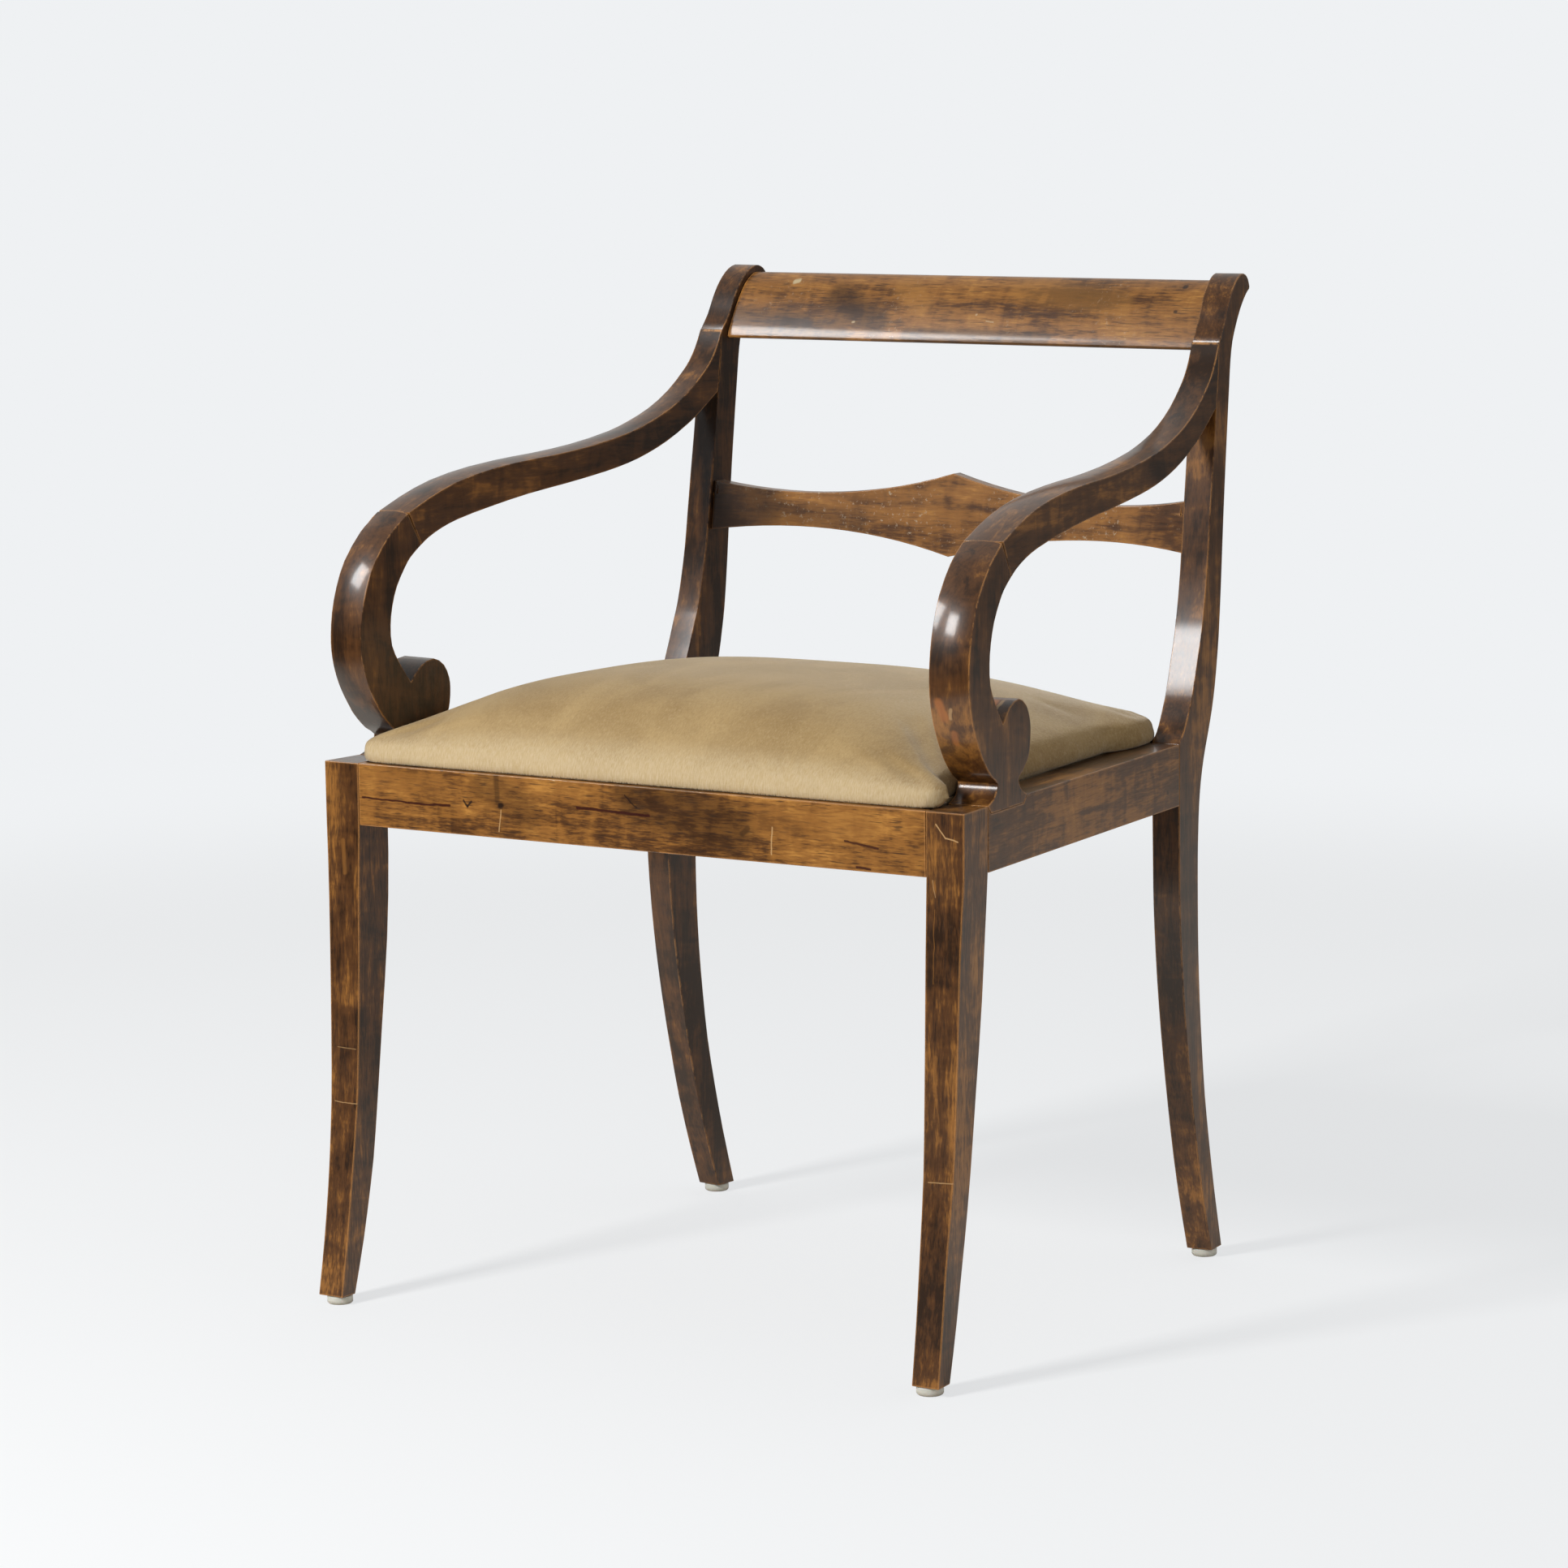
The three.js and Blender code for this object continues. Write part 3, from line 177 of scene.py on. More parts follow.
# %% Patterns and the shader
class Recipe(Tree):
    """A tree with the steps that finishes are made of."""

    def noise(self, at, stretch=None, scale=5.0, detail=2.0, rough=0.5, distortion=0.0, out=0):
        """Clouds, drawn out along the axes whose stretch is below 1."""
        place = self.stretched(at, stretch) if stretch else at
        inputs = {"Vector": place, "Scale": scale, "Detail": detail, "Roughness": rough}
        inputs["Distortion"] = distortion
        return self.add("ShaderNodeTexNoise", inputs, out=out)

    def calc(self, operation, a, b=0.0, c=0.0, clamp=False):
        inputs = {0: a, 1: b, 2: c}
        return self.add("ShaderNodeMath", inputs, operation=operation, use_clamp=clamp)

    def band(self, value, low, high, to_low=0.0, to_high=1.0):
        """Smoothly carries the range from low to high onto another."""
        inputs = {"Value": value, "From Min": low, "From Max": high}
        inputs.update({"To Min": to_low, "To Max": to_high})
        return self.add("ShaderNodeMapRange", inputs, interpolation_type="SMOOTHSTEP")

    def mix(self, share, a, b):
        return self.add("ShaderNodeMix", {"Factor": share, 6: a, 7: b}, out=2, data_type="RGBA")

    def blend(self, *parts):
        """The sum of values that each come with a share of their own."""
        total = None
        for value, share in parts:
            weighed = self.calc("MULTIPLY", value, share)
            total = weighed if total is None else self.calc("ADD", total, weighed)
        return total

    def streak(self, at, start, end, width):
        """1 on the line from start to end, falling to 0 at half the width beside it."""
        way = Vector(end) - Vector(start)
        off = self.vector("SUBTRACT", at, start)
        along = self.dot(off, way / way.length_squared)
        along = self.calc("ADD", along, 0.0, clamp=True)
        near = self.add("ShaderNodeVectorMath", {0: way, "Scale": along}, operation="SCALE")
        away = self.vector("DISTANCE", off, near, out="Value")
        return self.band(away, width / 2, width / 6)

    def bump(self, height, depth, strength=1.0, normal=None):
        inputs = {"Height": height, "Distance": depth, "Strength": strength}
        if normal is not None:
            inputs["Normal"] = normal
        return self.add("ShaderNodeBump", inputs)

    def surface(self, **inputs):
        """The shader at the end, with its inputs by name: Base_Color for Base Color."""
        named = {key.replace("_", " "): value for key, value in inputs.items()}
        return self.finish(self.add("ShaderNodeBsdfPrincipled", named))


print("steps", [step for step in vars(Recipe) if not step.startswith("_")])

# %% [markdown]
# Colours are easiest to judge as a picture editor shows them, in steps of 255. Shaders count
# light instead, so each colour is turned into linear light once, where it is named.

# %% Colours
def colour(red, green, blue):
    """A colour as a picture editor shows it, turned into linear light."""
    def straight(level):
        share = level / 255
        return share / 12.92 if share <= 0.04045 else ((share + 0.055) / 1.055) ** 2.4

    return (straight(red), straight(green), straight(blue), 1)


print("a mid grey is", colour(128, 128, 128)[0], "in linear light")

# %% [markdown]
# The chair stands on pale studio paper that runs on out of sight. A curved backdrop would
# serve for one view, but this chair is looked at from all sides, so the floor is one flat
# plane. Near the chair it shows the soft shadows, and further out they fade into an even tone.
# The light meets a paper that ends some way in front, where the studio is dark, because that
# is what the lacquer mirrors. The plane is see-through from below, to show the underside.

# %% Floor
FLOOR_SIZE = 400
PALE = colour(239, 241, 243)
PALE_PAPER = colour(236, 238, 240)
DARK_STUDIO = colour(40, 40, 40)
NEAR_PAPER = colour(234, 229, 222)
FAR_PAPER = colour(112, 110, 106)
PAPER_DIMS = (2.2, 5.0)
TOWARDS_STUDIO = Vector((-0.55, -0.84, 0))
PAPER_END = (0.9, 1.7)
SHADOWS_FADE = (1.3, 3.3)
GLOW_SHARE = 0.70
NEAR_GLOW = colour(246, 248, 250)


def pale_floor():
    """The camera sees pale paper, and the light meets paper that ends before the studio."""
    r = Recipe("pale_floor")
    at = r.place()
    away = r.vector("LENGTH", at, out="Value")
    paper = r.mix(r.band(away, *PAPER_DIMS), NEAR_PAPER, FAR_PAPER)
    paper = r.mix(r.band(r.dot(at, TOWARDS_STUDIO), *PAPER_END), paper, DARK_STUDIO)
    seen = r.add("ShaderNodeLightPath", {}, out="Is Camera Ray")
    lit = r.add("ShaderNodeBsdfDiffuse", {"Color": r.mix(seen, paper, PALE_PAPER)})
    fade = r.band(away, *SHADOWS_FADE)
    glow = r.add("ShaderNodeEmission", {"Color": r.mix(fade, NEAR_GLOW, PALE), "Strength": 1.0})
    share = r.calc("MULTIPLY", seen, r.band(fade, 0, 1, GLOW_SHARE, 1.0))
    shown = r.add("ShaderNodeMixShader", {0: share, 1: lit, 2: glow})
    below = r.add("ShaderNodeNewGeometry", {}, out="Backfacing")
    clear = r.add("ShaderNodeBsdfTransparent", {})
    return r.finish(r.add("ShaderNodeMixShader", {0: below, 1: shown, 2: clear}))


bpy.ops.mesh.primitive_plane_add(size=FLOOR_SIZE)
floor = bpy.context.object
floor.name = "floor"
floor.data.materials.append(pale_floor())
print("floor", floor.dimensions[:])

# %% [markdown]
# The room around the chair is pale to the eye, and as a light it is dim in front and brighter
# behind. One even light would be simpler, but it greys the dark lacquer all over. This one
# keeps the front of the wood dark and lights its edges from the rear.

# %% World
WARM_WHITE = (1.0, 0.98, 0.95)
SURROUND_LEVELS = (0.10, 0.60)
SURROUND_TURN = (-0.9, 0.5)
BRIGHT_WAY = Vector((0.3, 0.95, 0.1))


def studio_world():
    r = Recipe("studio", bpy.data.worlds.new("studio"), "ShaderNodeOutputWorld")
    way = r.add("ShaderNodeTexCoord", {}, out="Generated")
    level = r.band(r.dot(way, BRIGHT_WAY.normalized()), *SURROUND_TURN, *SURROUND_LEVELS)
    light = r.add("ShaderNodeBackground", {"Color": (*WARM_WHITE, 1), "Strength": level})
    shown = r.add("ShaderNodeBackground", {"Color": PALE})
    seen = r.add("ShaderNodeLightPath", {}, out="Is Camera Ray")
    return r.finish(r.add("ShaderNodeMixShader", {0: seen, 1: light, 2: shown}))


bpy.context.scene.world = studio_world()
print("surround from", SURROUND_LEVELS[0], "in front to", SURROUND_LEVELS[1], "behind")

# %% [markdown]
# One soft lamp stands ahead of the chair and to its left, and gives the long soft shadows. A
# single lamp would also be mirrored in one place only. So it isn't mirrored at all, and two
# bright sheets, one near it and one further left, give the lacquer its white highlights. They
# light nothing else.

# %% Lamps
WHITE = (1.0, 1.0, 1.0)
CHAIR_MIDDLE = Vector((0, 0, 0.45))
KEY_PLACE = (-0.9, -2.75, 2.05)
KEY_SIZE = 0.6
KEY_POWER = 96
CARD_PLACE = (-1.95, -1.8, 2.2)
CARD_SIZE = 0.85
CARD_POWER = 44
GLINT_PLACE = (-0.72, -2.3, 1.95)
GLINT_SIZE = 0.6
GLINT_POWER = 30


def add_softbox(name, place, size, power, tint):
    bpy.ops.object.light_add(type="AREA", location=place)
    lamp = bpy.context.object
    lamp.name = name
    lamp.data.shape = "SQUARE"
    lamp.data.size = size
    lamp.data.energy = power
    lamp.data.color = tint
    towards = CHAIR_MIDDLE - Vector(place)
    lamp.rotation_euler = towards.to_track_quat("-Z", "Y").to_euler()
    return lamp


key = add_softbox("key", KEY_PLACE, KEY_SIZE, KEY_POWER, WARM_WHITE)
key.visible_glossy = False
card = add_softbox("bright_card", CARD_PLACE, CARD_SIZE, CARD_POWER, WHITE)
card.visible_diffuse = False
glint = add_softbox("bright_sheet", GLINT_PLACE, GLINT_SIZE, GLINT_POWER, WHITE)
glint.visible_diffuse = False
print("key lamp", KEY_POWER, "W at", KEY_PLACE, "and bright sheets at", CARD_PLACE, GLINT_PLACE)

# %% [markdown]
# The wood is birch, stained dark and lacquered to a satin gloss. Under the stain lie the
# growth lines, a curly flame across them and short fibres, and the stain itself took in
# clouds. Each could be mixed in as a colour of its own, but such layers look printed. So one
# value adds them all up, and four tones from dark brown to bright gold follow it.

# %% Stain and grain
DARK = colour(44, 27, 14)
BROWN = colour(84, 53, 27)
GOLD = colour(144, 97, 45)
BRIGHT_GOLD = colour(182, 129, 62)
STAIN_START = 0.62
GOLDEN_SHARE = 0.28


def birch_figure(r, grain):
    """The patterns of the wood, each with the grain along X."""
    clouds = r.noise(grain, (0.5, 1, 1), scale=13, detail=4, rough=0.6, distortion=0.5)
    lines = r.noise(grain, (1, 8, 8), scale=12, detail=5, rough=0.65, distortion=0.7)
    flame = r.noise(grain, (1.5, 0.6, 0.6), scale=42, detail=2, rough=0.5, distortion=1.0)
    fibre = r.noise(grain, (0.14, 1, 1), scale=520, detail=3, rough=0.7, distortion=0.3)
    pores = r.noise(grain, (0.08, 1, 1), scale=760, detail=1, rough=0.5)
    return clouds, lines, flame, fibre, pores


def stain_tones(r, stain, golden):
    """Four tones that follow the stain. The more golden, the earlier each tone comes in."""
    low = STAIN_START - GOLDEN_SHARE * golden
    wood = r.mix(r.band(stain, low - 0.10, low + 0.01), DARK, BROWN)
    wood = r.mix(r.band(stain, low, low + 0.11), wood, GOLD)
    return r.mix(r.band(stain, low + 0.10, low + 0.22), wood, BRIGHT_GOLD)


print("stain from", DARK[:3], "to", BRIGHT_GOLD[:3])

# %% [markdown]
# Decades of hands have rubbed the stain back to gold on the arrises, in broken stretches. They
# could be painted along each edge, but the Bevel node finds them by itself: it rounds the
# normal near an edge, so that it differs from the true one there. A noise then breaks the line
# up. Fine pale dust sits in the lacquer of some boards.

# %% Wear on the arrises
PALE_WEAR = colour(192, 136, 76)
DUST = colour(176, 156, 130)
ARRIS_REACH = 0.0022
ARRIS_TURN = (0.998, 0.90)
RUBBED = (0.58, 0.72)
RUBBED_SHARE = 0.25


def rubbed_arrises(r, grain, true, arris):
    """How far the stain is gone, from 0 on the faces to 1 on a bare arris."""
    soft = r.add("ShaderNodeBevel", {"Radius": ARRIS_REACH}, samples=4)
    edge = r.band(r.dot(soft, true), *ARRIS_TURN)
    rubbed = r.noise(grain, (0.5, 1, 1), scale=70, detail=4, rough=0.75)
    low, high = (level - RUBBED_SHARE * arris for level in RUBBED)
    return r.calc("MULTIPLY", edge, r.band(rubbed, low, high))


def dust_specks(r, grain, haze):
    flecks = r.noise(grain, scale=260, detail=3, rough=0.75)
    field = r.noise(grain, scale=14, detail=1, rough=0.5)
    dusty = r.calc("MULTIPLY", r.band(flecks, 0.58, 0.70), r.band(field, 0.48, 0.6))
    return r.calc("MULTIPLY", dusty, haze)


print("wear reaches", ARRIS_REACH, "m from an arris")

# %% [markdown]
# Each board also has marks of its own: a dark knot, a drying crack, a scratch down to the pale
# wood, a flake out of the lacquer, a patch where the stain took more or less. They could be
# cut into the mesh, but they are hardly deep. A mark is a short line with soft sides instead,
# drawn in the plane of the face that is looked at, and other faces stay clear of it.

# %% Marks on a face
CRACK = colour(52, 16, 10)
KNOT = colour(30, 17, 10)
SCRATCH = colour(186, 150, 104)
FLAKE = colour(196, 178, 140)
ORANGE_WEAR = colour(160, 96, 44)
WAVER = 0.0022
TURNED_OUT = (0.1, 0.3)


def in_space(place, seen_along):
    """A place on a face, across and up, as a place in space."""
    across, up = place
    return (across, 0, up) if seen_along == "Y" else (0, across, up)


def paint_marks(r, wood, true, marks, seen_along):
    """Draws each mark, whose sides waver a little, over the wood that it is given."""
    outwards = (0, -1, 0) if seen_along == "Y" else (1, 0, 0)
    flat = in_space((1, 1), seen_along)
    front = r.band(r.dot(true, outwards), *TURNED_OUT)
    own = r.place()
    wander = r.vector("SUBTRACT", r.noise(own, scale=110, detail=2, out=1), (0.5, 0.5, 0.5))
    wander = r.stretched(wander, (WAVER, WAVER, WAVER))
    spot = r.stretched(r.vector("ADD", own, wander), flat)
    for start, end, width, tone, strength in marks:
        line = r.streak(spot, in_space(start, seen_along), in_space(end, seen_along), width)
        line = r.calc("MULTIPLY", line, front)
        wood = r.mix(r.calc("MULTIPLY", line, strength), wood, tone)
    return wood


print("marks waver by", WAVER / 2, "m")

# %% [markdown]
# The finish is built in layers, as the real one came about: the figure, the stain and pores,
# the wear, the dust and the marks. The lacquer could be a low roughness alone, but a clear
# coat over duller wood gives both its depth and its small sharp highlights. The wood under it
# is duller over the pores and where it is rubbed, and a faint bump breaks the highlights up.

# %% Stained birch
def stained_birch(name, turn, shift=(0, 0, 0), golden=0.5, arris=1.0, haze=0.0, bare=1.0,
                  marks=(), seen_along="Y"):
    """turn brings the grain onto X, in degrees, and shift says where in the log the board was
    sawn. golden is how much of the stain has worn off in clouds, arris the same along the
    edges, haze how dusty it is, and bare how much of the fine grain shows.
    marks are (start, end, width, tone, strength) on the face that is seen along Y or X."""
    r = Recipe(name)
    grain = r.place(turn, shift)
    clouds, lines, flame, fibre, pores = birch_figure(r, grain)
    stain = r.blend((clouds, 0.5), (lines, 0.34), (flame, 0.16))
    fine_lines = r.calc("MULTIPLY", r.calc("SUBTRACT", fibre, 0.5), 0.3 * bare)
    wood = stain_tones(r, r.calc("ADD", stain, fine_lines), golden)
    dots = r.band(pores, 0.58, 0.70, 0.0, 0.6 * bare)
    wood = r.mix(dots, wood, DARK)

    true = r.add("ShaderNodeNewGeometry", {}, out="Normal")
    worn = rubbed_arrises(r, grain, true, arris)
    wood = r.mix(r.calc("MULTIPLY", worn, 0.9), wood, PALE_WEAR)
    wood = r.mix(dust_specks(r, grain, haze), wood, DUST)
    if marks:
        wood = paint_marks(r, wood, true, marks, seen_along)

    satin = r.band(clouds, 0.3, 0.7, 0.30, 0.40)
    rough = r.calc("ADD", satin, r.blend((dots, 0.2), (worn, 0.12)), clamp=True)
    uneven = r.bump(r.noise(grain, scale=22, detail=2, rough=0.5), depth=0.0002, strength=0.5)
    tiny = r.blend((fibre, 0.6), (pores, -0.4))
    return r.surface(
        Base_Color=wood,
        Roughness=rough,
        Normal=r.bump(tiny, depth=0.00012, strength=0.5, normal=uneven),
        Specular_IOR_Level=0.32,
        Coat_Weight=0.55,
        Coat_Roughness=0.13,
    )


print("stained birch, from", DARK[:3], "to", GOLD[:3])

# %% [markdown]
# The frame's solids have their true shapes, so the wooden pieces could be modelled anew or
# taken over from there. They are taken over. The frame's meshes are loose triangles, so a
# finished piece starts as a copy with its triangles merged into faces, and the solid that it
# stands for is hidden.

# %% Copies of the solids
WELD = 0.00001
FLAT_ENOUGH = math.radians(0.04)


def select_only(piece):
    bpy.ops.object.select_all(action="DESELECT")
    piece.select_set(True)
    bpy.context.view_layer.objects.active = piece


def dress(piece, material):
    piece.data.materials.clear()
    piece.data.materials.append(material)


def free_copy(node, name, join_flats=True):
    """A copy of a frame node as a piece of its own, with its triangles merged into faces."""
    select_only(nodes[node])
    bpy.ops.object.duplicate()
    piece = bpy.context.object
    piece.name = name
    piece.parent = None
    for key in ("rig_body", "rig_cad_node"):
        del piece[key]
    bpy.ops.mesh.customdata_custom_splitnormals_clear()
    bpy.ops.object.mode_set(mode="EDIT")
    bpy.ops.mesh.select_all(action="SELECT")
    bpy.ops.mesh.remove_doubles(threshold=WELD)
    if join_flats:
        bpy.ops.mesh.dissolve_limited(angle_limit=FLAT_ENOUGH)
    bpy.ops.object.mode_set(mode="OBJECT")
    return piece


def hand_in(piece, node, body):
    """Hides the frame node that the piece takes the place of, and fixes the piece to the body it
    moves with.
    """
    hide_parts(node)
    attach(piece, body)


print("points closer than", WELD, "m are one")

# %% [markdown]
# Every wooden edge on the chair is eased by hand, and it is these arrises that catch the
# light. They could be selected one by one, but a Bevel modifier with an angle limit finds
# them all. It isn't clamped: beside the tiny edges at a mortise, a clamp would take the width
# from every arris of the board. Weighted normals keep the flats flat and the curves smooth.
# A Triangulate modifier before them divides the many-cornered faces, so that no shading error
# lies across one.

# %% Eased arrises
ARRIS = 0.0007
ARRIS_STEPS = 2
ARRIS_ANGLE = math.radians(32)
LEAST_CORNERS = 5
FLATS_WEIGHT = 50


def ease(piece, width=ARRIS):
    select_only(piece)
    bpy.ops.object.shade_smooth()
    bevel = piece.modifiers.new("arris", "BEVEL")
    bevel.width = width
    bevel.segments = ARRIS_STEPS
    bevel.limit_method = "ANGLE"
    bevel.angle_limit = ARRIS_ANGLE
    bevel.use_clamp_overlap = False
    parting = piece.modifiers.new("parting", "TRIANGULATE")
    parting.min_vertices = LEAST_CORNERS
    parting.ngon_method = "BEAUTY"
    normals = piece.modifiers.new("normals", "WEIGHTED_NORMAL")
    normals.weight = FLATS_WEIGHT


print("arrises", ARRIS, "m wide")

# %% [markdown]
# These are the marks that this chair has below the seat, each a hand's work or a year's wear.
# A noise would give some marks, but not these, at their places. Their ends are in metres,
# across the face and up from the floor. The width is that of the soft line, so a wide mark of
# low strength is a cloud in the stain.

# %% Marks on the seat rails and legs
rail_marks = [
    ((0.0050, 0.4260), (0.0900, 0.4060), 0.0640, DARK, 0.55),
    ((-0.1400, 0.4250), (-0.1000, 0.4050), 0.0400, DARK, 0.35),
    ((0.1200, 0.4150), (0.2100, 0.4180), 0.0300, GOLD, 0.45),
    ((-0.2450, 0.4250), (-0.1900, 0.4200), 0.0260, GOLD, 0.45),
    ((-0.2594, 0.4062), (-0.2136, 0.4050), 0.0022, CRACK, 0.95),
    ((-0.2136, 0.4050), (-0.1738, 0.4053), 0.0028, CRACK, 0.95),
    ((-0.0514, 0.4128), (0.0154, 0.4113), 0.0036, CRACK, 0.95),
    ((0.1927, 0.4055), (0.2219, 0.4016), 0.0024, CRACK, 0.9),
    ((0.2032, 0.3862), (0.2146, 0.3858), 0.0030, CRACK, 0.9),
    ((-0.1246, 0.4095), (-0.1236, 0.4095), 0.0072, KNOT, 0.95),
    ((-0.1280, 0.4320), (-0.1279, 0.4136), 0.0075, KNOT, 0.45),
    ((-0.1600, 0.4105), (-0.1563, 0.4062), 0.0026, KNOT, 0.9),
    ((-0.1563, 0.4062), (-0.1525, 0.4100), 0.0026, KNOT, 0.9),
    ((-0.1240, 0.4060), (-0.1263, 0.3883), 0.0014, SCRATCH, 0.8),
    ((-0.0069, 0.4254), (0.0042, 0.4168), 0.0018, KNOT, 0.8),
    ((0.1278, 0.4104), (0.1267, 0.3900), 0.0015, SCRATCH, 0.9),
    ((0.1010, 0.4040), (0.1060, 0.4080), 0.0070, KNOT, 0.5),
    ((-0.0735, 0.4327), (-0.0725, 0.4327), 0.0030, SCRATCH, 0.9),
]
right_leg_marks = [
    ((0.2723, 0.4236), (0.2806, 0.4139), 0.0015, SCRATCH, 0.9),
    ((0.2806, 0.4139), (0.2910, 0.4123), 0.0015, SCRATCH, 0.9),
    ((0.2694, 0.1571), (0.2969, 0.1583), 0.0011, SCRATCH, 0.7),
    ((0.2690, 0.3816), (0.2716, 0.3700), 0.0012, SCRATCH, 0.5),
    ((0.2712, 0.3600), (0.2708, 0.3050), 0.0010, GOLD, 0.6),
    ((0.2735, 0.2500), (0.2730, 0.2250), 0.0050, GOLD, 0.5),
]
left_leg_marks = [
    ((-0.2869, 0.1606), (-0.2632, 0.1604), 0.0011, SCRATCH, 0.6),
    ((-0.2853, 0.2044), (-0.2673, 0.2042), 0.0009, SCRATCH, 0.5),
    ((-0.2800, 0.3700), (-0.2780, 0.3450), 0.0060, GOLD, 0.5),
]
side_marks = [((0.1162, 0.3974), (0.1172, 0.3974), 0.0050, KNOT, 0.8)]
print(len(rail_marks), "marks on the front rail")

# %% [markdown]
# On the back, the crest is darker at its left end and has a dark cloud low in the middle, two
# knots at the right and some flakes where things knocked against it. The dark streak along the
# right of its lower arris is painted shade, which dims the highlight there. The mid rail gets
# painted shade where the left post shades it.

# %% Marks on the back
crest_marks_and_shade = [
    ((-0.1744, 0.7872), (-0.1708, 0.7880), 0.0052, FLAKE, 0.95),
    ((0.2015, 0.7892), (0.2031, 0.7892), 0.0050, KNOT, 0.8),
    ((0.2010, 0.7698), (0.2020, 0.7698), 0.0036, KNOT, 0.8),
    ((-0.1250, 0.7740), (-0.0800, 0.7560), 0.0340, DARK, 0.60),
    ((-0.1770, 0.7600), (-0.1500, 0.7540), 0.0200, DARK, 0.35),
    ((-0.0480, 0.7470), (0.0855, 0.7470), 0.0160, DARK, 0.55),
    ((-0.0633, 0.7860), (-0.0396, 0.7700), 0.0280, BRIGHT_GOLD, 0.34),
    ((0.0503, 0.7860), (0.1500, 0.7740), 0.0300, BRIGHT_GOLD, 0.30),
    ((-0.2010, 0.7690), (-0.1920, 0.7850), 0.0160, GOLD, 0.45),
    ((-0.1036, 0.7556), (-0.1022, 0.7556), 0.0030, FLAKE, 0.60),
    ((0.0150, 0.7640), (0.0154, 0.7640), 0.0022, FLAKE, 0.60),
    ((0.0260, 0.7590), (0.0330, 0.7584), 0.0016, FLAKE, 0.50),
    ((-0.2250, 0.7560), (-0.1150, 0.7460), 0.0300, DARK, 0.55),
    # Painted shade: a dark streak along the lower arris, from the middle to the right, dims the
    # highlight there.
    ((-0.0800, 0.7405), (0.2300, 0.7405), 0.0070, DARK, 0.60),
]
mid_rail_marks_and_shade = [
    # Painted shade: the left end is darkened where the left post shades the rail.
    ((-0.2400, 0.6050), (-0.1950, 0.6030), 0.0900, DARK, 0.75),
    ((-0.1700, 0.5950), (-0.0900, 0.5900), 0.0300, DARK, 0.35),
    ((-0.1200, 0.6100), (-0.0700, 0.6150), 0.0200, GOLD, 0.45),
]
print(len(crest_marks_and_shade), "marks on the crest and", len(mid_rail_marks_and_shade), "on the mid rail")

# %% [markdown]
# Wood is always sawn along its grain, so the grain runs across the chair, up it, or back along
# its tapering sides. The turn of the sides follows from the widths of the seat in front and at
# the rear, so that the pattern lies along the board and not a little across it.

# %% Ways of the grain
FRONT_WIDTH = 0.5937
REAR_WIDTH = 0.5188
SEAT_RUN = 0.3897
SIDE_TURN = math.degrees(math.atan2((FRONT_WIDTH - REAR_WIDTH) / 2, SEAT_RUN))
GRAIN_ACROSS = (0, 0, 0)
GRAIN_UP = (0, RIGHT_ANGLE, 0)
GRAIN_RIGHT_SIDE = (0, 0, -RIGHT_ANGLE - SIDE_TURN)
GRAIN_LEFT_SIDE = (0, 0, -RIGHT_ANGLE + SIDE_TURN)
print("the sides turn in by", SIDE_TURN, "degrees")

# %% [markdown]
# The rails, legs, posts and the two boards of the back are plain sawn boards. One material
# could serve them all, but a cabinet maker never has ten boards alike. Every board gets its
# own place in the log, its own wear and its own marks, and the crest, which hands touch most,
# is the most golden.

# %% Boards
boards = {
    "front_seat_rail": dict(
        turn=GRAIN_ACROSS, shift=(1.3, 0.2, 0.4), golden=0.71, arris=1.0, bare=1.1,
        marks=rail_marks,
    ),
    "rear_seat_rail": dict(
        turn=GRAIN_ACROSS, shift=(4.3, 0.8, 0.1), golden=0.35, arris=0.7, bare=0.6,
    ),
    "crest_rail": dict(
        turn=GRAIN_ACROSS, shift=(2.1, 1.2, 0.9), golden=0.74, arris=0.7, haze=0.4, bare=0.9,
        marks=crest_marks_and_shade,
    ),
    "back_mid_rail": dict(
        turn=GRAIN_ACROSS, shift=(0.4, 2.2, 0.3), golden=0.66, arris=0.9, haze=0.9, bare=0.5,
        marks=mid_rail_marks_and_shade,
    ),
    "front_leg_right": dict(
        turn=GRAIN_UP, shift=(0.2, 0.7, 1.6), golden=0.42, arris=1.4, bare=0.9,
        marks=right_leg_marks,
    ),
    "front_leg_left": dict(
        turn=GRAIN_UP, shift=(1.2, 1.7, 0.6), golden=0.42, arris=1.2, bare=0.9,
        marks=left_leg_marks,
    ),
    "rear_post_right": dict(
        turn=GRAIN_UP, shift=(2.2, 0.1, 2.6), golden=0.5, arris=0.75, bare=0.6,
    ),
    "rear_post_left": dict(
        turn=GRAIN_UP, shift=(3.2, 1.1, 0.7), golden=0.3, arris=0.5, bare=0.5,
    ),
    "side_seat_rail_right": dict(
        turn=GRAIN_RIGHT_SIDE, shift=(0.9, 3.1, 0.2), golden=0.5, arris=0.8, haze=0.1, bare=0.5,
        marks=side_marks, seen_along="X",
    ),
    "side_seat_rail_left": dict(
        turn=GRAIN_LEFT_SIDE, shift=(1.9, 2.1, 1.2), golden=0.5, arris=0.8, haze=0.1, bare=0.5,
    ),
}
for node, looks in boards.items():
    board = free_copy(node, f"finished_{node}")
    dress(board, stained_birch(node + "_wood", **looks))
    ease(board)
    hand_in(board, node, "frame")
print(len(boards), "boards eased and stained")

# %% [markdown]
# The arms are more than sawn boards: their front and top faces are gently crowned across, so
# that a hand slides over them, and the highlight lies along the middle of the face. A wide
# bevel would only round the borders. A face can arch where it has points, so each arm piece
# is a copy of its solid that is first cut into narrow lanes along its length.

# %% Lanes along the arms
LANES = 8
SIDE_NORMAL = Vector(
    (math.cos(math.radians(SIDE_TURN)), math.sin(math.radians(SIDE_TURN)), 0)
)
SIDE_ALONG = Vector((-SIDE_NORMAL.y, SIDE_NORMAL.x, 0))


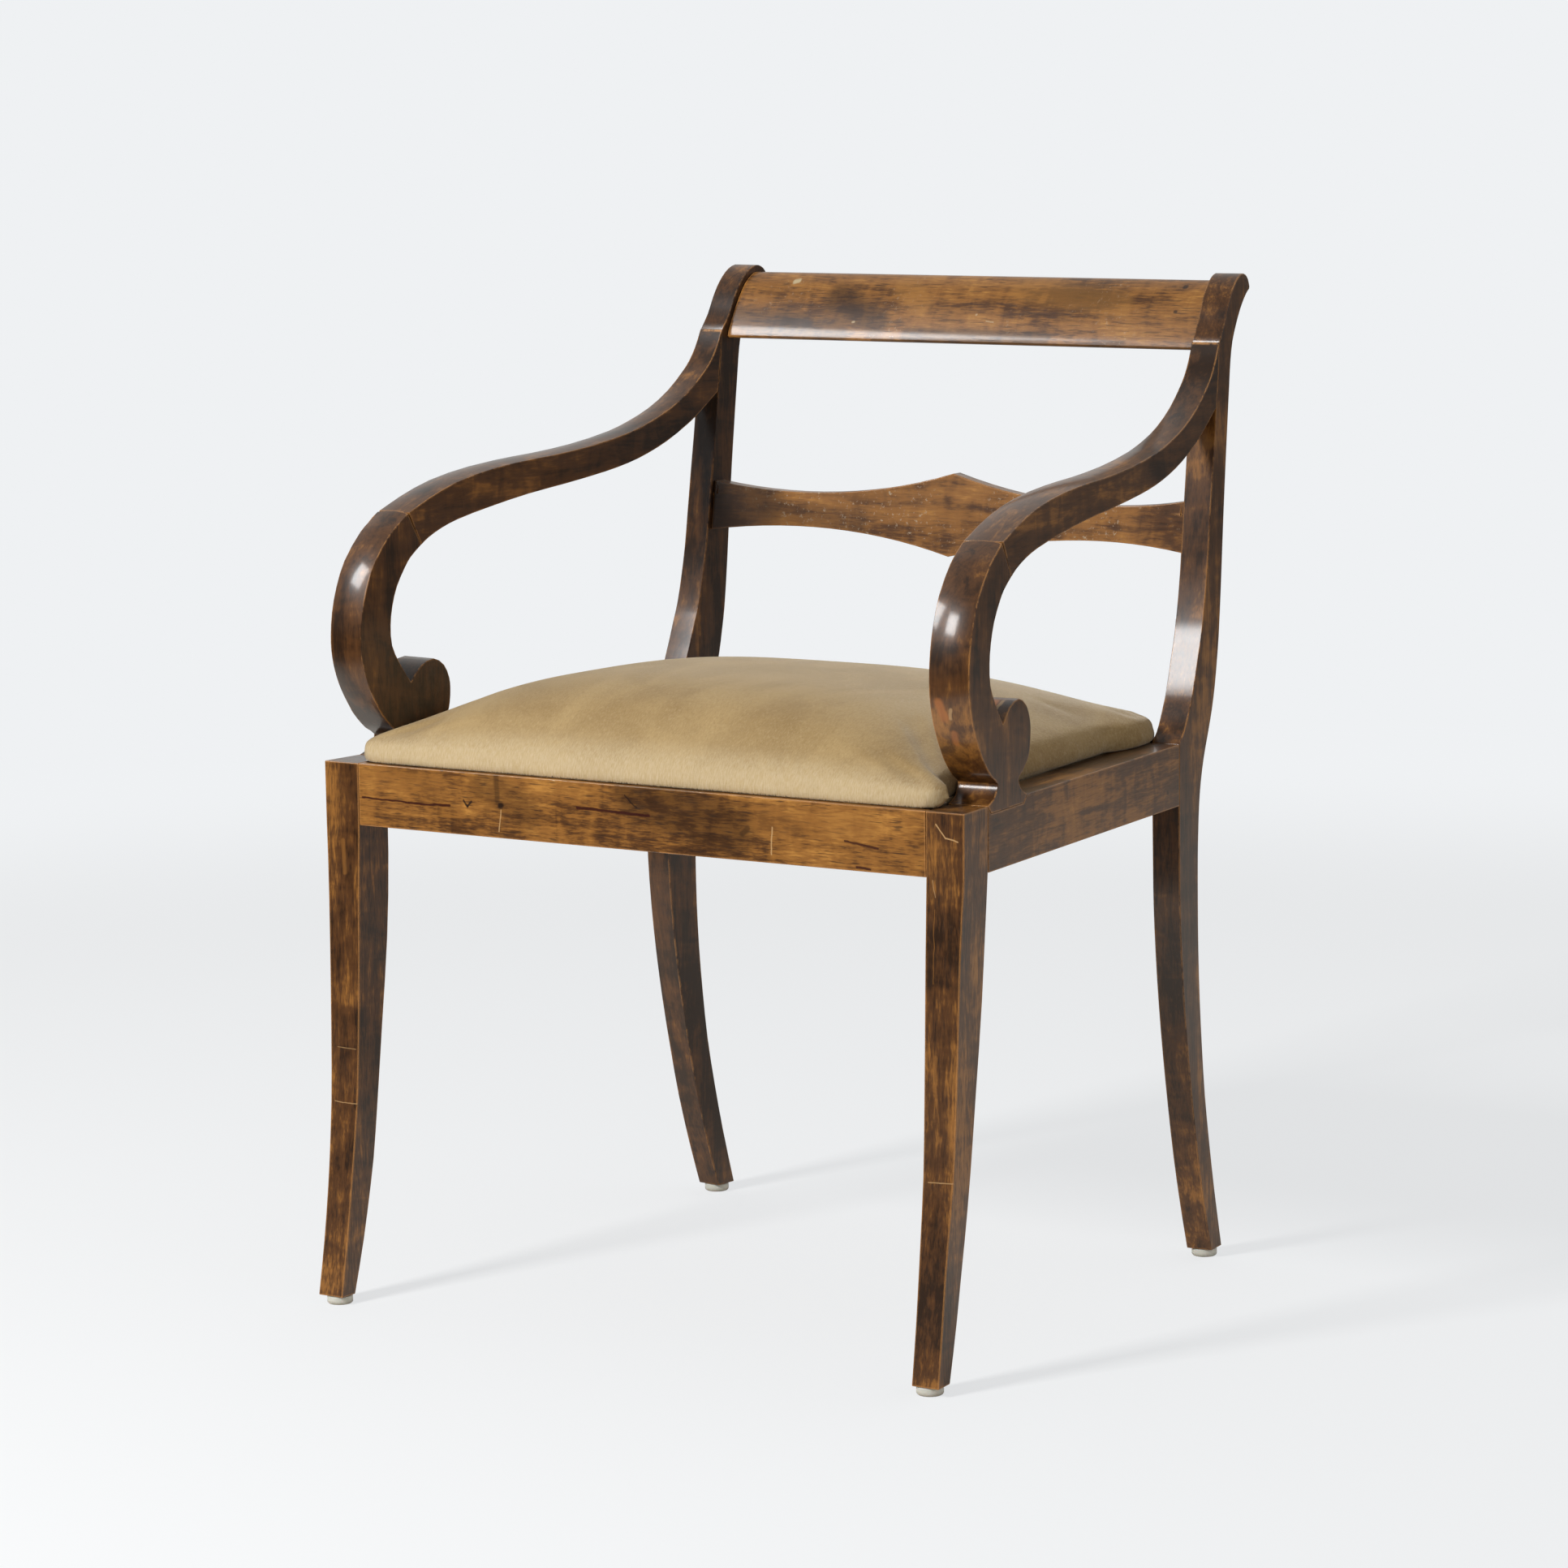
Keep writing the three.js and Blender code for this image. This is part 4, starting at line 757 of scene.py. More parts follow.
def cut_lanes(piece, hand):
    """Cuts the board along its length, and returns its side's direction and outer reach."""
    normal = Vector((hand * SIDE_NORMAL.x, SIDE_NORMAL.y, 0))
    reach = [v.co @ normal for v in piece.data.vertices]
    outer, inner = max(reach), min(reach)
    bpy.ops.object.mode_set(mode="EDIT")
    for lane in range(1, LANES):
        inset = outer + (inner - outer) * lane / LANES
        bpy.ops.mesh.select_all(action="SELECT")
        bpy.ops.mesh.bisect(plane_co=normal * inset, plane_no=normal)
    bpy.ops.object.mode_set(mode="OBJECT")
    return normal, outer


print(LANES, "lanes along each arm")

# %% [markdown]
# Only the narrow faces of an arm are crowned, in front and on top. Those that look back or
# down and the small lobe of the scroll stay flat. The arm grows thinner to the rear, so its
# thickness is worked out by how far back a place is.

# %% Where an arm is crowned
ARM_THICK = ((0.060, 0.033), (0.3915, 0.024))
LOBE_RUN = 0.055
LOBE_TOP = 0.515
NARROW_FACING = 0.5
BACK_FACING = 0.15
TOP_FACING = 0.75
UNDER_FACING = -0.6
NO_LENGTH = 0.000001


def thickness_at(run):
    """An arm's thickness across, by how far back along the side it is."""
    (run0, thick0), (run1, thick1) = ARM_THICK
    share = min(max((run - run0) / (run1 - run0), 0), 1)
    return thick0 + (thick1 - thick0) * share


def outward_at(v, normal):
    """Which way the narrow faces at a point look, if any meet there."""
    out = Vector()
    for face in v.link_faces:
        if abs(face.normal @ normal) < NARROW_FACING:
            out += face.normal
    out -= normal * (out @ normal)
    return out.normalized() if out.length > NO_LENGTH else None


def stays_flat(out, run, height, along):
    """The faces that look back or down, and the small lobe of the scroll, have no crown."""
    looks_back = out @ along > BACK_FACING and out.z < TOP_FACING
    return looks_back or out.z < UNDER_FACING or (run > LOBE_RUN and height < LOBE_TOP)


print("an arm is", thickness_at(0), "m thick in front and", thickness_at(1), "m at the post")

# %% [markdown]
# The lanes are moved out in the middle of a face and in at its borders, in a low arch. It
# fades away towards the scroll's foot and towards the post, where the pieces have to meet
# flat. The inner side of an arm tapers, and the lanes cut it into slivers that would shade
# badly, so both sides are joined into whole faces again.

# %% Crowned faces
CROWN_RISE = 0.0019
CROWN_FADE_FOOT = (0.447, 0.485)
CROWN_FADE_POST = (0.40, 0.455)
SIDE_FACING = 0.95


def ramp(value, low, high):
    """0 up to low and 1 from high, with a soft rise between them."""
    share = min(max((value - low) / (high - low), 0), 1)
    return share * share * (3 - 2 * share)


def arch(share):
    """A low arch over a width of 1: half above at the middle, and half below at the borders."""
    return 4 * share * (1 - share) - 0.5


def crown_faces(piece, hand, side_front):
    """Arches the narrow faces of a board, and returns how many points it moved."""
    normal, outer = cut_lanes(piece, hand)
    along = Vector((hand * SIDE_ALONG.x, SIDE_ALONG.y, 0))
    mesh = bmesh.new()
    mesh.from_mesh(piece.data)
    moves = {}
    for v in mesh.verts:
        out = outward_at(v, normal)
        run = (v.co - side_front) @ along
        if out is None or stays_flat(out, run, v.co.z, along):
            continue
        share = (outer - v.co @ normal) / thickness_at(run)
        fade = ramp(v.co.z, *CROWN_FADE_FOOT) * (1 - ramp(run, *CROWN_FADE_POST))
        moves[v] = out * CROWN_RISE * fade * arch(share)
    for v, move in moves.items():
        v.co += move
    mesh.normal_update()
    for way in (1, -1):
        side = [f for f in mesh.faces if f.normal.x * way > SIDE_FACING]
        bmesh.ops.dissolve_faces(mesh, faces=side)
    mesh.to_mesh(piece.data)
    mesh.free()
    return len(moves)


print("crowned by", CROWN_RISE, "m")

# %% [markdown]
# Each arm is two pieces: a scroll that stands on the seat rail, with its grain upright, and
# the upper arm that is tongued into it, with its grain along the arm. In one board the scroll
# would break where the grain runs across it. The scrolls are darker, because a hand seldom
# rubs them, and the right one has lost some stain at its lobe.

# %% Arms
ARM_ARRIS = 0.0004
ARM_LOOKS = dict(arris=0.75, bare=0.35)
UPPER_GOLD = 0.42
SCROLL_GOLD = {"left": 0.26, "right": 0.34}
FRONT_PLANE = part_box("front_seat_rail")[0].y

scroll_marks = {
    "left": (),
    "right": [
        ((0.2706, 0.5120), (0.2740, 0.5020), 0.0110, ORANGE_WEAR, 0.7),
        ((0.2790, 0.4890), (0.2780, 0.4820), 0.0080, ORANGE_WEAR, 0.6),
        ((0.2800, 0.5080), (0.2790, 0.5010), 0.0040, SCRATCH, 0.6),
    ],
}


def finish_arm(node, name, hand, looks):
    piece = free_copy(node, name)
    side_front = Vector((hand * cad_box[1].x, FRONT_PLANE, 0))
    raised = crown_faces(piece, hand, side_front)
    dress(piece, stained_birch(name + "_wood", **ARM_LOOKS, **looks))
    ease(piece, ARM_ARRIS)
    hand_in(piece, node, "frame")
    print(name, raised, "points crowned")


for side, hand in (("right", 1), ("left", -1)):
    scroll_looks = dict(
        turn=GRAIN_UP, shift=(0.4 * hand, 0.9, 1.1), golden=SCROLL_GOLD[side],
        marks=scroll_marks[side],
    )
    upper_looks = dict(
        turn=GRAIN_RIGHT_SIDE if hand > 0 else GRAIN_LEFT_SIDE,
        shift=(1.4 * hand, 0.2, 0.6), golden=UPPER_GOLD,
    )
    finish_arm(f"arm_scroll_{side}", f"crowned_scroll_{side}", hand, scroll_looks)
    finish_arm(f"arm_upper_{side}", f"crowned_arm_{side}", hand, upper_looks)

# %% [markdown]
# The seat cover is short mohair pile, a soft field of fibres that lies a little to one side.
# Real hairs could be grown for it, but at their size there would be millions. Colour and bump
# say the same from here: the pile is deeper where it was brushed one way and speckled where
# single tufts stand up. Its front, which faces the light and is seen from the side, gets a
# painted sheen: its colour is paler there.

# %% Pile
PILE_TOP = colour(174, 147, 101)
PILE_LIGHT = colour(196, 174, 134)
PILE_DEEP = colour(128, 100, 58)
SHEEN_PAINT_FACING = (0, -0.92, -0.38)


def pile_colour(r, at, fibre, tuft, nap):
    """Brushed clouds, tuft specks and the lie of the nap, then a painted sheen on the front."""
    brushed = r.noise(at, (1, 0.6, 1), scale=16, detail=4, rough=0.6, distortion=0.6)
    base = r.mix(r.band(brushed, 0.36, 0.64), PILE_DEEP, PILE_TOP)
    base = r.mix(0.55, base, PILE_TOP)
    speck = r.blend((fibre, 0.6), (tuft, 0.4))
    base = r.mix(r.band(speck, 0.52, 0.74, 0.0, 0.55), base, PILE_LIGHT)
    base = r.mix(r.band(speck, 0.46, 0.28, 0.0, 0.6), base, PILE_DEEP)
    base = r.mix(r.band(nap, 0.50, 0.70, 0.0, 0.4), base, PILE_LIGHT)
    base = r.mix(r.band(nap, 0.47, 0.30, 0.0, 0.35), base, PILE_DEEP)
    # Painted sheen: faces that look forward and down are coloured paler, as light and a grazing
    # view make them.
    way = r.add("ShaderNodeNewGeometry", {}, out="Normal")
    front = r.band(r.dot(way, SHEEN_PAINT_FACING), 0.05, 0.8, 0.0, 0.65)
    return r.mix(front, base, PILE_LIGHT)


print("pile from", PILE_DEEP[:3], "to", PILE_LIGHT[:3])

# %% [markdown]
# Along the front border the hairs stand out against the light, and a painted highlight gives
# them a pale fringe. At the very bottom, where the cover goes down behind the rails, it lies in
# their shade, which is painted as a dark band. Sheen gives the glow of cloth that is looked at
# along its surface.

# %% Mohair
FRINGE_HIGHLIGHT = colour(214, 200, 172)
GAP_SHADE_PAINT = colour(52, 40, 24)
FRINGE = (-0.222, -0.244)
EDGE_SHADE = (0.4306, 0.4322)
SHADE_WAVER = 0.005
PILE_DEPTH = 0.0010


def mohair():
    r = Recipe("mohair")
    at = r.place()
    fibre = r.noise(at, scale=1400, detail=3, rough=0.75)
    tuft = r.noise(at, scale=420, detail=2, rough=0.6)
    nap = r.noise(at, (1, 0.3, 0.3), scale=1100, detail=3, rough=0.65)
    base = pile_colour(r, at, fibre, tuft, nap)

    # Painted highlight: pale streaks along the front border stand for hairs that catch the light.
    hairs = r.noise(at, (1, 0.25, 0.12), scale=1500, detail=2, rough=0.6)
    border = r.band(r.part(at, 1), *FRINGE)
    fringe_highlight = r.calc("MULTIPLY", border, r.band(hairs, 0.25, 0.75, 0.0, 0.5))
    base = r.mix(fringe_highlight, base, FRINGE_HIGHLIGHT)

    # Painted shade: the band at the very bottom is darkened where the rails shade it.
    ends = r.noise(at, (1, 1, 0.1), scale=900, detail=2, rough=0.6)
    tips = r.calc("SUBTRACT", r.part(at, 2), r.calc("MULTIPLY", ends, SHADE_WAVER))
    base = r.mix(r.band(tips, *EDGE_SHADE, 0.85, 0.0), base, GAP_SHADE_PAINT)

    rise = r.blend((fibre, 0.4), (tuft, 0.3), (nap, 0.3))
    return r.surface(
        Base_Color=base,
        Roughness=0.95,
        Normal=r.bump(rise, depth=PILE_DEPTH, strength=0.7),
        Sheen_Weight=0.55,
        Sheen_Roughness=0.4,
        Sheen_Tint=(1.0, 0.93, 0.80, 1),
        Specular_IOR_Level=0.15,
    )


pile = mohair()
print("mohair", pile.name)

# %% [markdown]
# The loose seat is stuffed full in the middle and runs out thin at its borders. The dome
# could be sculpted, but formulas keep it even, and each number in them can be changed alone.
# One says how high the stuffing stands at a place, and one how far a place lies inside the
# cover's outline, which tapers to the rear as the seat does.

# %% How full the seat is
COVER_LOW, COVER_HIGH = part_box("seat_cover")
PAD_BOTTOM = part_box("seat_padding")[0].z
DOME_EDGE = 0.4515
DOME_RISE = 0.0500
DOME_TOP_Y = -0.092
DOME_ACROSS_SHARE = 3.4
DOME_ALONG_SHARE = 3.0
RIM_WIDTH = 0.014


def half_width(y):
    """Half of the cover's width at a place along it."""
    return COVER_HIGH.x - (y - COVER_LOW.y) * math.tan(math.radians(SIDE_TURN))


def dome_height(x, y):
    """How high the stuffing stands: full in the middle and falling off before the borders."""
    across = min(abs(x) / half_width(y), 1)
    end = COVER_LOW.y if y < DOME_TOP_Y else COVER_HIGH.y
    along = min((y - DOME_TOP_Y) / (end - DOME_TOP_Y), 1)
    fall = (1 - across ** DOME_ACROSS_SHARE) * (1 - along ** DOME_ALONG_SHARE)
    return DOME_EDGE + DOME_RISE * fall


def inside_by(x, y):
    """How far a place lies within the cover's outline, counted up to the rim's width."""
    over_side = max(RIM_WIDTH - (half_width(y) - abs(x)), 0)
    over_end = max(RIM_WIDTH - min(y - COVER_LOW.y, COVER_HIGH.y - y), 0)
    return max(RIM_WIDTH - math.hypot(over_side, over_end), 0)


print("the stuffing stands up to", dome_height(0, DOME_TOP_Y), "m high")

# %% [markdown]
# The cushion starts from the cover's solid, which is a thin shell with an inner and an outer
# skin. Only the outer skin is kept. It is cut off where the padding ends below and closed
# there, so that it is one full body.

# %% Skin of the cushion
def outer_shell(piece):
    """Keeps only the skin that shows, of a cover with a thickness, and closes it below."""
    mesh = bmesh.new()
    mesh.from_mesh(piece.data)
    hem = [f for f in mesh.faces if max(v.co.z for v in f.verts) < COVER_LOW.z + WELD]
    bmesh.ops.delete(mesh, geom=hem, context="FACES")
    start = max(mesh.verts, key=lambda v: v.co.z)
    shell, edge_on = {start}, [start]
    while edge_on:
        for edge in edge_on.pop().link_edges:
            for v in edge.verts:
                if v not in shell:
                    shell.add(v)
                    edge_on.append(v)
    bmesh.ops.delete(mesh, geom=[v for v in mesh.verts if v not in shell], context="VERTS")
    bmesh.ops.holes_fill(mesh, edges=[e for e in mesh.edges if e.is_boundary], sides=0)
    mesh.to_mesh(piece.data)
    mesh.free()
    bpy.ops.object.mode_set(mode="EDIT")
    bpy.ops.mesh.select_all(action="SELECT")
    bpy.ops.mesh.bisect(
        plane_co=(0, 0, PAD_BOTTOM), plane_no=(0, 0, 1), clear_inner=True, use_fill=True
    )
    bpy.ops.mesh.select_all(action="SELECT")
    bpy.ops.mesh.normals_make_consistent(inside=False)
    bpy.ops.object.mode_set(mode="OBJECT")


print("the cushion goes down to", PAD_BOTTOM, "m")

# %% [markdown]
# Stuffing moves each point of that skin to its place: the top follows the dome, its border is
# rounded off like a bolster, and the bottom stays on the hessian, but droops to the rails at
# the rim. Towards the rear posts the corners are a little fuller. After smoothing, the rim
# settles until it touches the rails all round.

# %% Stuffing
RIM_HEIGHT = 0.4460
HELD_RING = 0.013
DROOP = 0.0019
CORNER_FULLNESS = 0.008
CORNER_ACROSS = (0.185, 0.225)
CORNER_BACK = (0.05, 0.12)
SETTLE = 0.0030
SETTLED_RIM = 0.004
RAIL_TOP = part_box("front_seat_rail")[1].z
CLEAR_OF_RAIL = 0.0002
RAY_INSET = 0.003
DOWN = Vector((0, 0, -1))


def skin_height(skin, x, y):
    """The height of the unstuffed top at a place, looked up a little way in from the rim."""
    above = Vector((x - math.copysign(RAY_INSET, x), y - math.copysign(RAY_INSET, y), 1))
    met = skin.ray_cast(above, DOWN)[0]
    return None if met is None else met.z


def stuff(piece):
    """Gives the skin its dome and its round rim, and fills out the rear corners."""
    skin = BVHTree.FromObject(piece, bpy.context.evaluated_depsgraph_get())
    for v in piece.data.vertices:
        x, y, z = v.co
        was = skin_height(skin, x, y)
        share = 1 if was is None else ramp(z, PAD_BOTTOM, was)
        out = 1 - inside_by(x, y) / RIM_WIDTH
        top = RIM_HEIGHT + (dome_height(x, y) - RIM_HEIGHT) * math.sqrt(1 - out ** 2)
        rim = 1 - ramp(inside_by(x, y), HELD_RING / 2, HELD_RING)
        v.co.z = PAD_BOTTOM - DROOP * rim * (1 - share) + (top - PAD_BOTTOM) * share
        fuller = ramp(abs(x), *CORNER_ACROSS) * ramp(y, *CORNER_BACK)
        v.co.x += math.copysign(CORNER_FULLNESS * fuller, x)


def settle(piece):
    """Lets the rim sink to the rail, whose top it touches all round."""
    for v in piece.data.vertices:
        near = 1 - ramp(inside_by(v.co.x, v.co.y), SETTLED_RIM, RIM_WIDTH)
        low = 1 - ramp(v.co.z, PAD_BOTTOM, RIM_HEIGHT)
        v.co.z = max(v.co.z - SETTLE * near * low, RAIL_TOP + CLEAR_OF_RAIL)


print("the rim is", RIM_WIDTH, "m wide and", RIM_HEIGHT, "m above the floor")

# %% [markdown]
# A cover that is drawn tight over stuffing is never as even as a formula. A cloth simulation
# presses the skin out from inside while its bottom is held, as the tacks hold it, and the
# small unevenness that it gives is added, up to a limit.

# %% Swelling
SWELL_CAP = 0.0016
SWELL_STEPS = 20
HELD_HEIGHT = 0.004


def set_cloth(cloth):
    cloth.settings.quality = 5
    cloth.settings.mass = 0.3
    cloth.settings.tension_stiffness = 25
    cloth.settings.compression_stiffness = 25
    cloth.settings.bending_stiffness = 1.5
    cloth.settings.vertex_group_mass = "held"
    cloth.settings.use_pressure = True
    cloth.settings.uniform_pressure_force = 4
    cloth.settings.effector_weights.gravity = 0
    cloth.collision_settings.use_collision = False


def places_of(mesh):
    """The places of a mesh's points, one row for each."""
    places = np.zeros(len(mesh.vertices) * 3)
    mesh.vertices.foreach_get("co", places)
    return places.reshape(-1, 3)


def swell(piece, pinned_below):
    """Presses the skin out, and returns how far it would have gone without the limit."""
    start = places_of(piece.data)
    held = piece.vertex_groups.new(name="held")
    held.add([int(i) for i in np.nonzero(start[:, 2] < pinned_below)[0]], 1.0, "REPLACE")
    cloth = piece.modifiers.new("cloth", "CLOTH")
    set_cloth(cloth)
    scene = bpy.context.scene
    for step in range(1, SWELL_STEPS + 1):
        scene.frame_set(step)
    shaped = piece.evaluated_get(bpy.context.evaluated_depsgraph_get()).to_mesh()
    move = places_of(shaped) - start
    far = np.linalg.norm(move, axis=1)
    move *= np.minimum(1, SWELL_CAP / np.maximum(far, NO_LENGTH))[:, None]
    piece.modifiers.remove(cloth)
    scene.frame_set(1)
    piece.data.vertices.foreach_set("co", (start + move).ravel())
    piece.data.update()
    return float(far.max())


print("swells by", SWELL_CAP, "m at most")

# %% [markdown]
# Now the cushion itself: the skin is rebuilt as an even mesh, stuffed, smoothed, settled and
# swelled, and one level of subdivision takes the last corners off.

# %% Cushion
VOXEL = 0.005
ROUNDING_TIMES = 14

cushion = free_copy("seat_cover", "seat_cushion", join_flats=False)
outer_shell(cushion)
cushion.data.remesh_voxel_size = VOXEL
bpy.ops.object.voxel_remesh()
stuff(cushion)
rounding = cushion.modifiers.new("rounding", "SMOOTH")
rounding.iterations = ROUNDING_TIMES
bpy.ops.object.modifier_apply(modifier="rounding")
settle(cushion)
print("the pad swelled by up to", swell(cushion, PAD_BOTTOM + HELD_HEIGHT))
rounder = cushion.modifiers.new("rounder", "SUBSURF")
rounder.levels = rounder.render_levels = 1
bpy.ops.object.modifier_apply(modifier="rounder")
bpy.ops.object.shade_smooth()
dress(cushion, pile)
hand_in(cushion, "seat_padding", "seat")
print("cushion", len(cushion.data.vertices), "points", cushion.dimensions[:])

# %% [markdown]
# Below the pad, the same cloth runs down over the edge of the seat's wooden frame and ends in
# a hem under it. The strip is cut from the cover's own solid, because that has the thickness
# of the cloth and its turned hem already.

# %% Skirt of the cover
SKIRT_LAP = 0.001
SKIRT_TOP = PAD_BOTTOM + SKIRT_LAP
SHARP_EDGE = math.radians(40)


def skirt_of(node, name, top):
    piece = free_copy(node, name, join_flats=False)
    bpy.ops.object.mode_set(mode="EDIT")
    bpy.ops.mesh.select_all(action="SELECT")
    bpy.ops.mesh.bisect(plane_co=(0, 0, top), plane_no=(0, 0, 1), clear_outer=True)
    bpy.ops.mesh.select_all(action="DESELECT")
    bpy.ops.mesh.select_mode(type="EDGE")
    bpy.ops.mesh.select_non_manifold()
    bpy.ops.mesh.bridge_edge_loops()
    bpy.ops.object.mode_set(mode="OBJECT")
    bpy.ops.object.shade_smooth_by_angle(angle=SHARP_EDGE)
    return piece


skirt = skirt_of("seat_cover", "cover_skirt", SKIRT_TOP)
dress(skirt, pile)
hand_in(skirt, "seat_cover", "seat")

# %% [markdown]
# Webbing and hessian are both woven of jute. Single threads would be thousands of pieces, so
# two Wave textures that cross make them in the finish, with hairs over them. The webbing has
# two red-brown lines along each strip. They come from the place across the strips, folded back
# and forth at their pitch, so that one finish serves all the strips of a way.

# %% Jute cloth
WEAVE_PITCH = 0.0016
WAVE_FACTOR = 10
THREAD_WAVER = 1.5
LINE_PLACE = 0.017
LINE_HALF = 0.0016
JUTE_DEEP = colour(92, 68, 38)
JUTE = colour(176, 146, 98)
JUTE_HAIR = colour(200, 172, 124)
LINE_TONE = colour(96, 44, 30)


def jute_cloth(name, turn, shift, repeat, strong):
    """Cloth with its threads along X and Y, and two darker lines along each strip."""
    r = Recipe(name)
    at = r.place(turn, shift)
    wave = {
        "Vector": at, "Scale": math.pi / WEAVE_PITCH / WAVE_FACTOR, "Distortion": THREAD_WAVER,
    }
    warp = r.add("ShaderNodeTexWave", wave, bands_direction="X", out=1)
    weft = r.add("ShaderNodeTexWave", wave, bands_direction="Y", out=1)
    threads = r.calc("MULTIPLY", warp, weft)
    hairs = r.noise(at, scale=900, detail=3, rough=0.7)
    cloth = r.mix(threads, JUTE_DEEP, JUTE)
    cloth = r.mix(r.band(hairs, 0.4, 0.7, 0, 0.5), cloth, JUTE_HAIR)
    away = r.calc("PINGPONG", r.part(at, 1), repeat)
    line = r.calc("COMPARE", away, LINE_PLACE, LINE_HALF)
    cloth = r.mix(r.calc("MULTIPLY", line, strong), cloth, LINE_TONE)
    weave = r.bump(threads, depth=0.0004, strength=0.8)
    return r.surface(Base_Color=cloth, Roughness=0.9, Normal=weave)


print("threads", WEAVE_PITCH, "m apart")

# %% [markdown]
# Under the pad, six strips of jute webbing are stretched across the seat's frame, each going
# over one neighbour and under the next. Flat strips in two layers would be simpler, but real
# webbing is interlaced, and it shows from below. A strip is a fine grid, lifted and lowered in
# a wave whose bends fall on the crossings, and then given the thickness of the cloth.

# %% One strip of webbing
WEB_THICK = 0.0011
WEB_LIFT = 0.00066
WEB_MIDDLE = (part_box("webbing_lengthwise_1")[0].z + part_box("webbing_crosswise_1")[1].z) / 2
WEB_STEP = 0.006
STEPS_ACROSS = 4


def thicken(piece, thick):
    select_only(piece)
    sheet = piece.modifiers.new("cloth", "SOLIDIFY")
    sheet.thickness = thick
    sheet.offset = 0
    bpy.ops.object.modifier_apply(modifier="cloth")
    bpy.ops.object.shade_smooth_by_angle(angle=SHARP_EDGE)


def middle_of(node):
    low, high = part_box(node)
    return (low + high) / 2


def crossing_wave(first, pitch, turn):
    """Bends up and down by turns, with its tops and bottoms at the crossings."""
    return lambda place: WEB_LIFT * turn * math.cos(math.pi * (place - first) / pitch)


def woven_strip(node, name, along, wave, material):
    """along is 0 for a strip that runs along X, and 1 along Y. wave is its lift by place."""
    low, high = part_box(node)
    size = high - low
    steps = int(size[along] / WEB_STEP)
    counts = (steps, STEPS_ACROSS) if along == 0 else (STEPS_ACROSS, steps)
    bpy.ops.object.select_all(action="DESELECT")
    bpy.ops.mesh.primitive_grid_add(x_subdivisions=counts[0], y_subdivisions=counts[1], size=1)
    piece = bpy.context.object
    piece.name = name
    centre = middle_of(node)
    for v in piece.data.vertices:
        v.co.x = centre.x + v.co.x * size.x
        v.co.y = centre.y + v.co.y * size.y
        v.co.z = WEB_MIDDLE + wave(v.co[along])
    thicken(piece, WEB_THICK)
    dress(piece, material)
    hand_in(piece, node, "seat")
    return piece


print("webbing", WEB_THICK, "m thick, its middle at", WEB_MIDDLE)

# %% [markdown]
# The strips take their places from the frame's webbing. Neighbours start on opposite sides of
# the weave, and each strip is stretched between the two bars that it is tacked to.

# %% Six strips
STRIPS = 3
LINES_SHOW = 0.7

lengthwise_at = [middle_of(f"webbing_lengthwise_{i + 1}").x for i in range(STRIPS)]
crosswise_at = [middle_of(f"webbing_crosswise_{i + 1}").y for i in range(STRIPS)]
LENGTH_PITCH = lengthwise_at[1] - lengthwise_at[0]
CROSS_PITCH = crosswise_at[1] - crosswise_at[0]
jute_long = jute_cloth(
    "jute_long", (0, 0, RIGHT_ANGLE), (0, -lengthwise_at[1], 0), LENGTH_PITCH / 2, LINES_SHOW
)
jute_across = jute_cloth(
    "jute_across", (0, 0, 0), (0, -crosswise_at[1], 0), CROSS_PITCH / 2, LINES_SHOW
)
for i in range(STRIPS):
    turn = -1 if i % 2 else 1
    long_strip = woven_strip(
        f"webbing_lengthwise_{i + 1}", f"woven_strip_long_{i + 1}", 1,
        crossing_wave(crosswise_at[0], CROSS_PITCH, -turn), jute_long,
    )
    across_strip = woven_strip(
        f"webbing_crosswise_{i + 1}", f"woven_strip_across_{i + 1}", 0,
        crossing_wave(lengthwise_at[0], LENGTH_PITCH, turn), jute_across,
    )
print(2 * STRIPS, "strips, each way", LENGTH_PITCH, "and", CROSS_PITCH, "m apart")

# %% [markdown]
# Over the webbing lies a sheet of hessian, which keeps the stuffing from working its way
# through. It is one flat cloth of plain weave, with the same threads as the strips. Only the
# upper face of its solid is kept, laid at mid-height and given the cloth's own thickness.

# %% Hessian
HESSIAN_THICK = 0.0008
UP_FACING = 0.5


def hessian_sheet(node):
    low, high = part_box(node)
    piece = free_copy(node, "hessian_cloth", join_flats=False)
    mesh = bmesh.new()
    mesh.from_mesh(piece.data)
    sides = [f for f in mesh.faces if f.normal.z < UP_FACING]
    bmesh.ops.delete(mesh, geom=sides, context="FACES")
    for v in mesh.verts:
        v.co.z = (low.z + high.z) / 2
    mesh.to_mesh(piece.data)
    mesh.free()
    thicken(piece, HESSIAN_THICK)
    dress(piece, jute_cloth("hessian", (0, 0, 0), (0, 0, 0), LENGTH_PITCH, 0.0))
    hand_in(piece, node, "seat")
    return piece


hessian = hessian_sheet("seat_hessian")
print("hessian", hessian.dimensions[:])

# %% [markdown]
# Inside the frame the birch was never stained, because nobody sees it there. The glides are
# pale nylon that has yellowed and picked up dirt near the floor, and the screws are plain
# steel with a few dull spots.

# %% Bare birch, nylon and steel
BARE_BIRCH = colour(196, 160, 112)
BARE_LINES = colour(160, 122, 78)
BARE_FIBRE = colour(120, 86, 52)
NYLON = colour(206, 204, 196)
NYLON_DIRT = colour(120, 106, 86)
DIRT_HEIGHTS = (0.004, 0.0005)
STEEL = colour(168, 166, 162)
STEEL_SPOTS = colour(104, 88, 74)


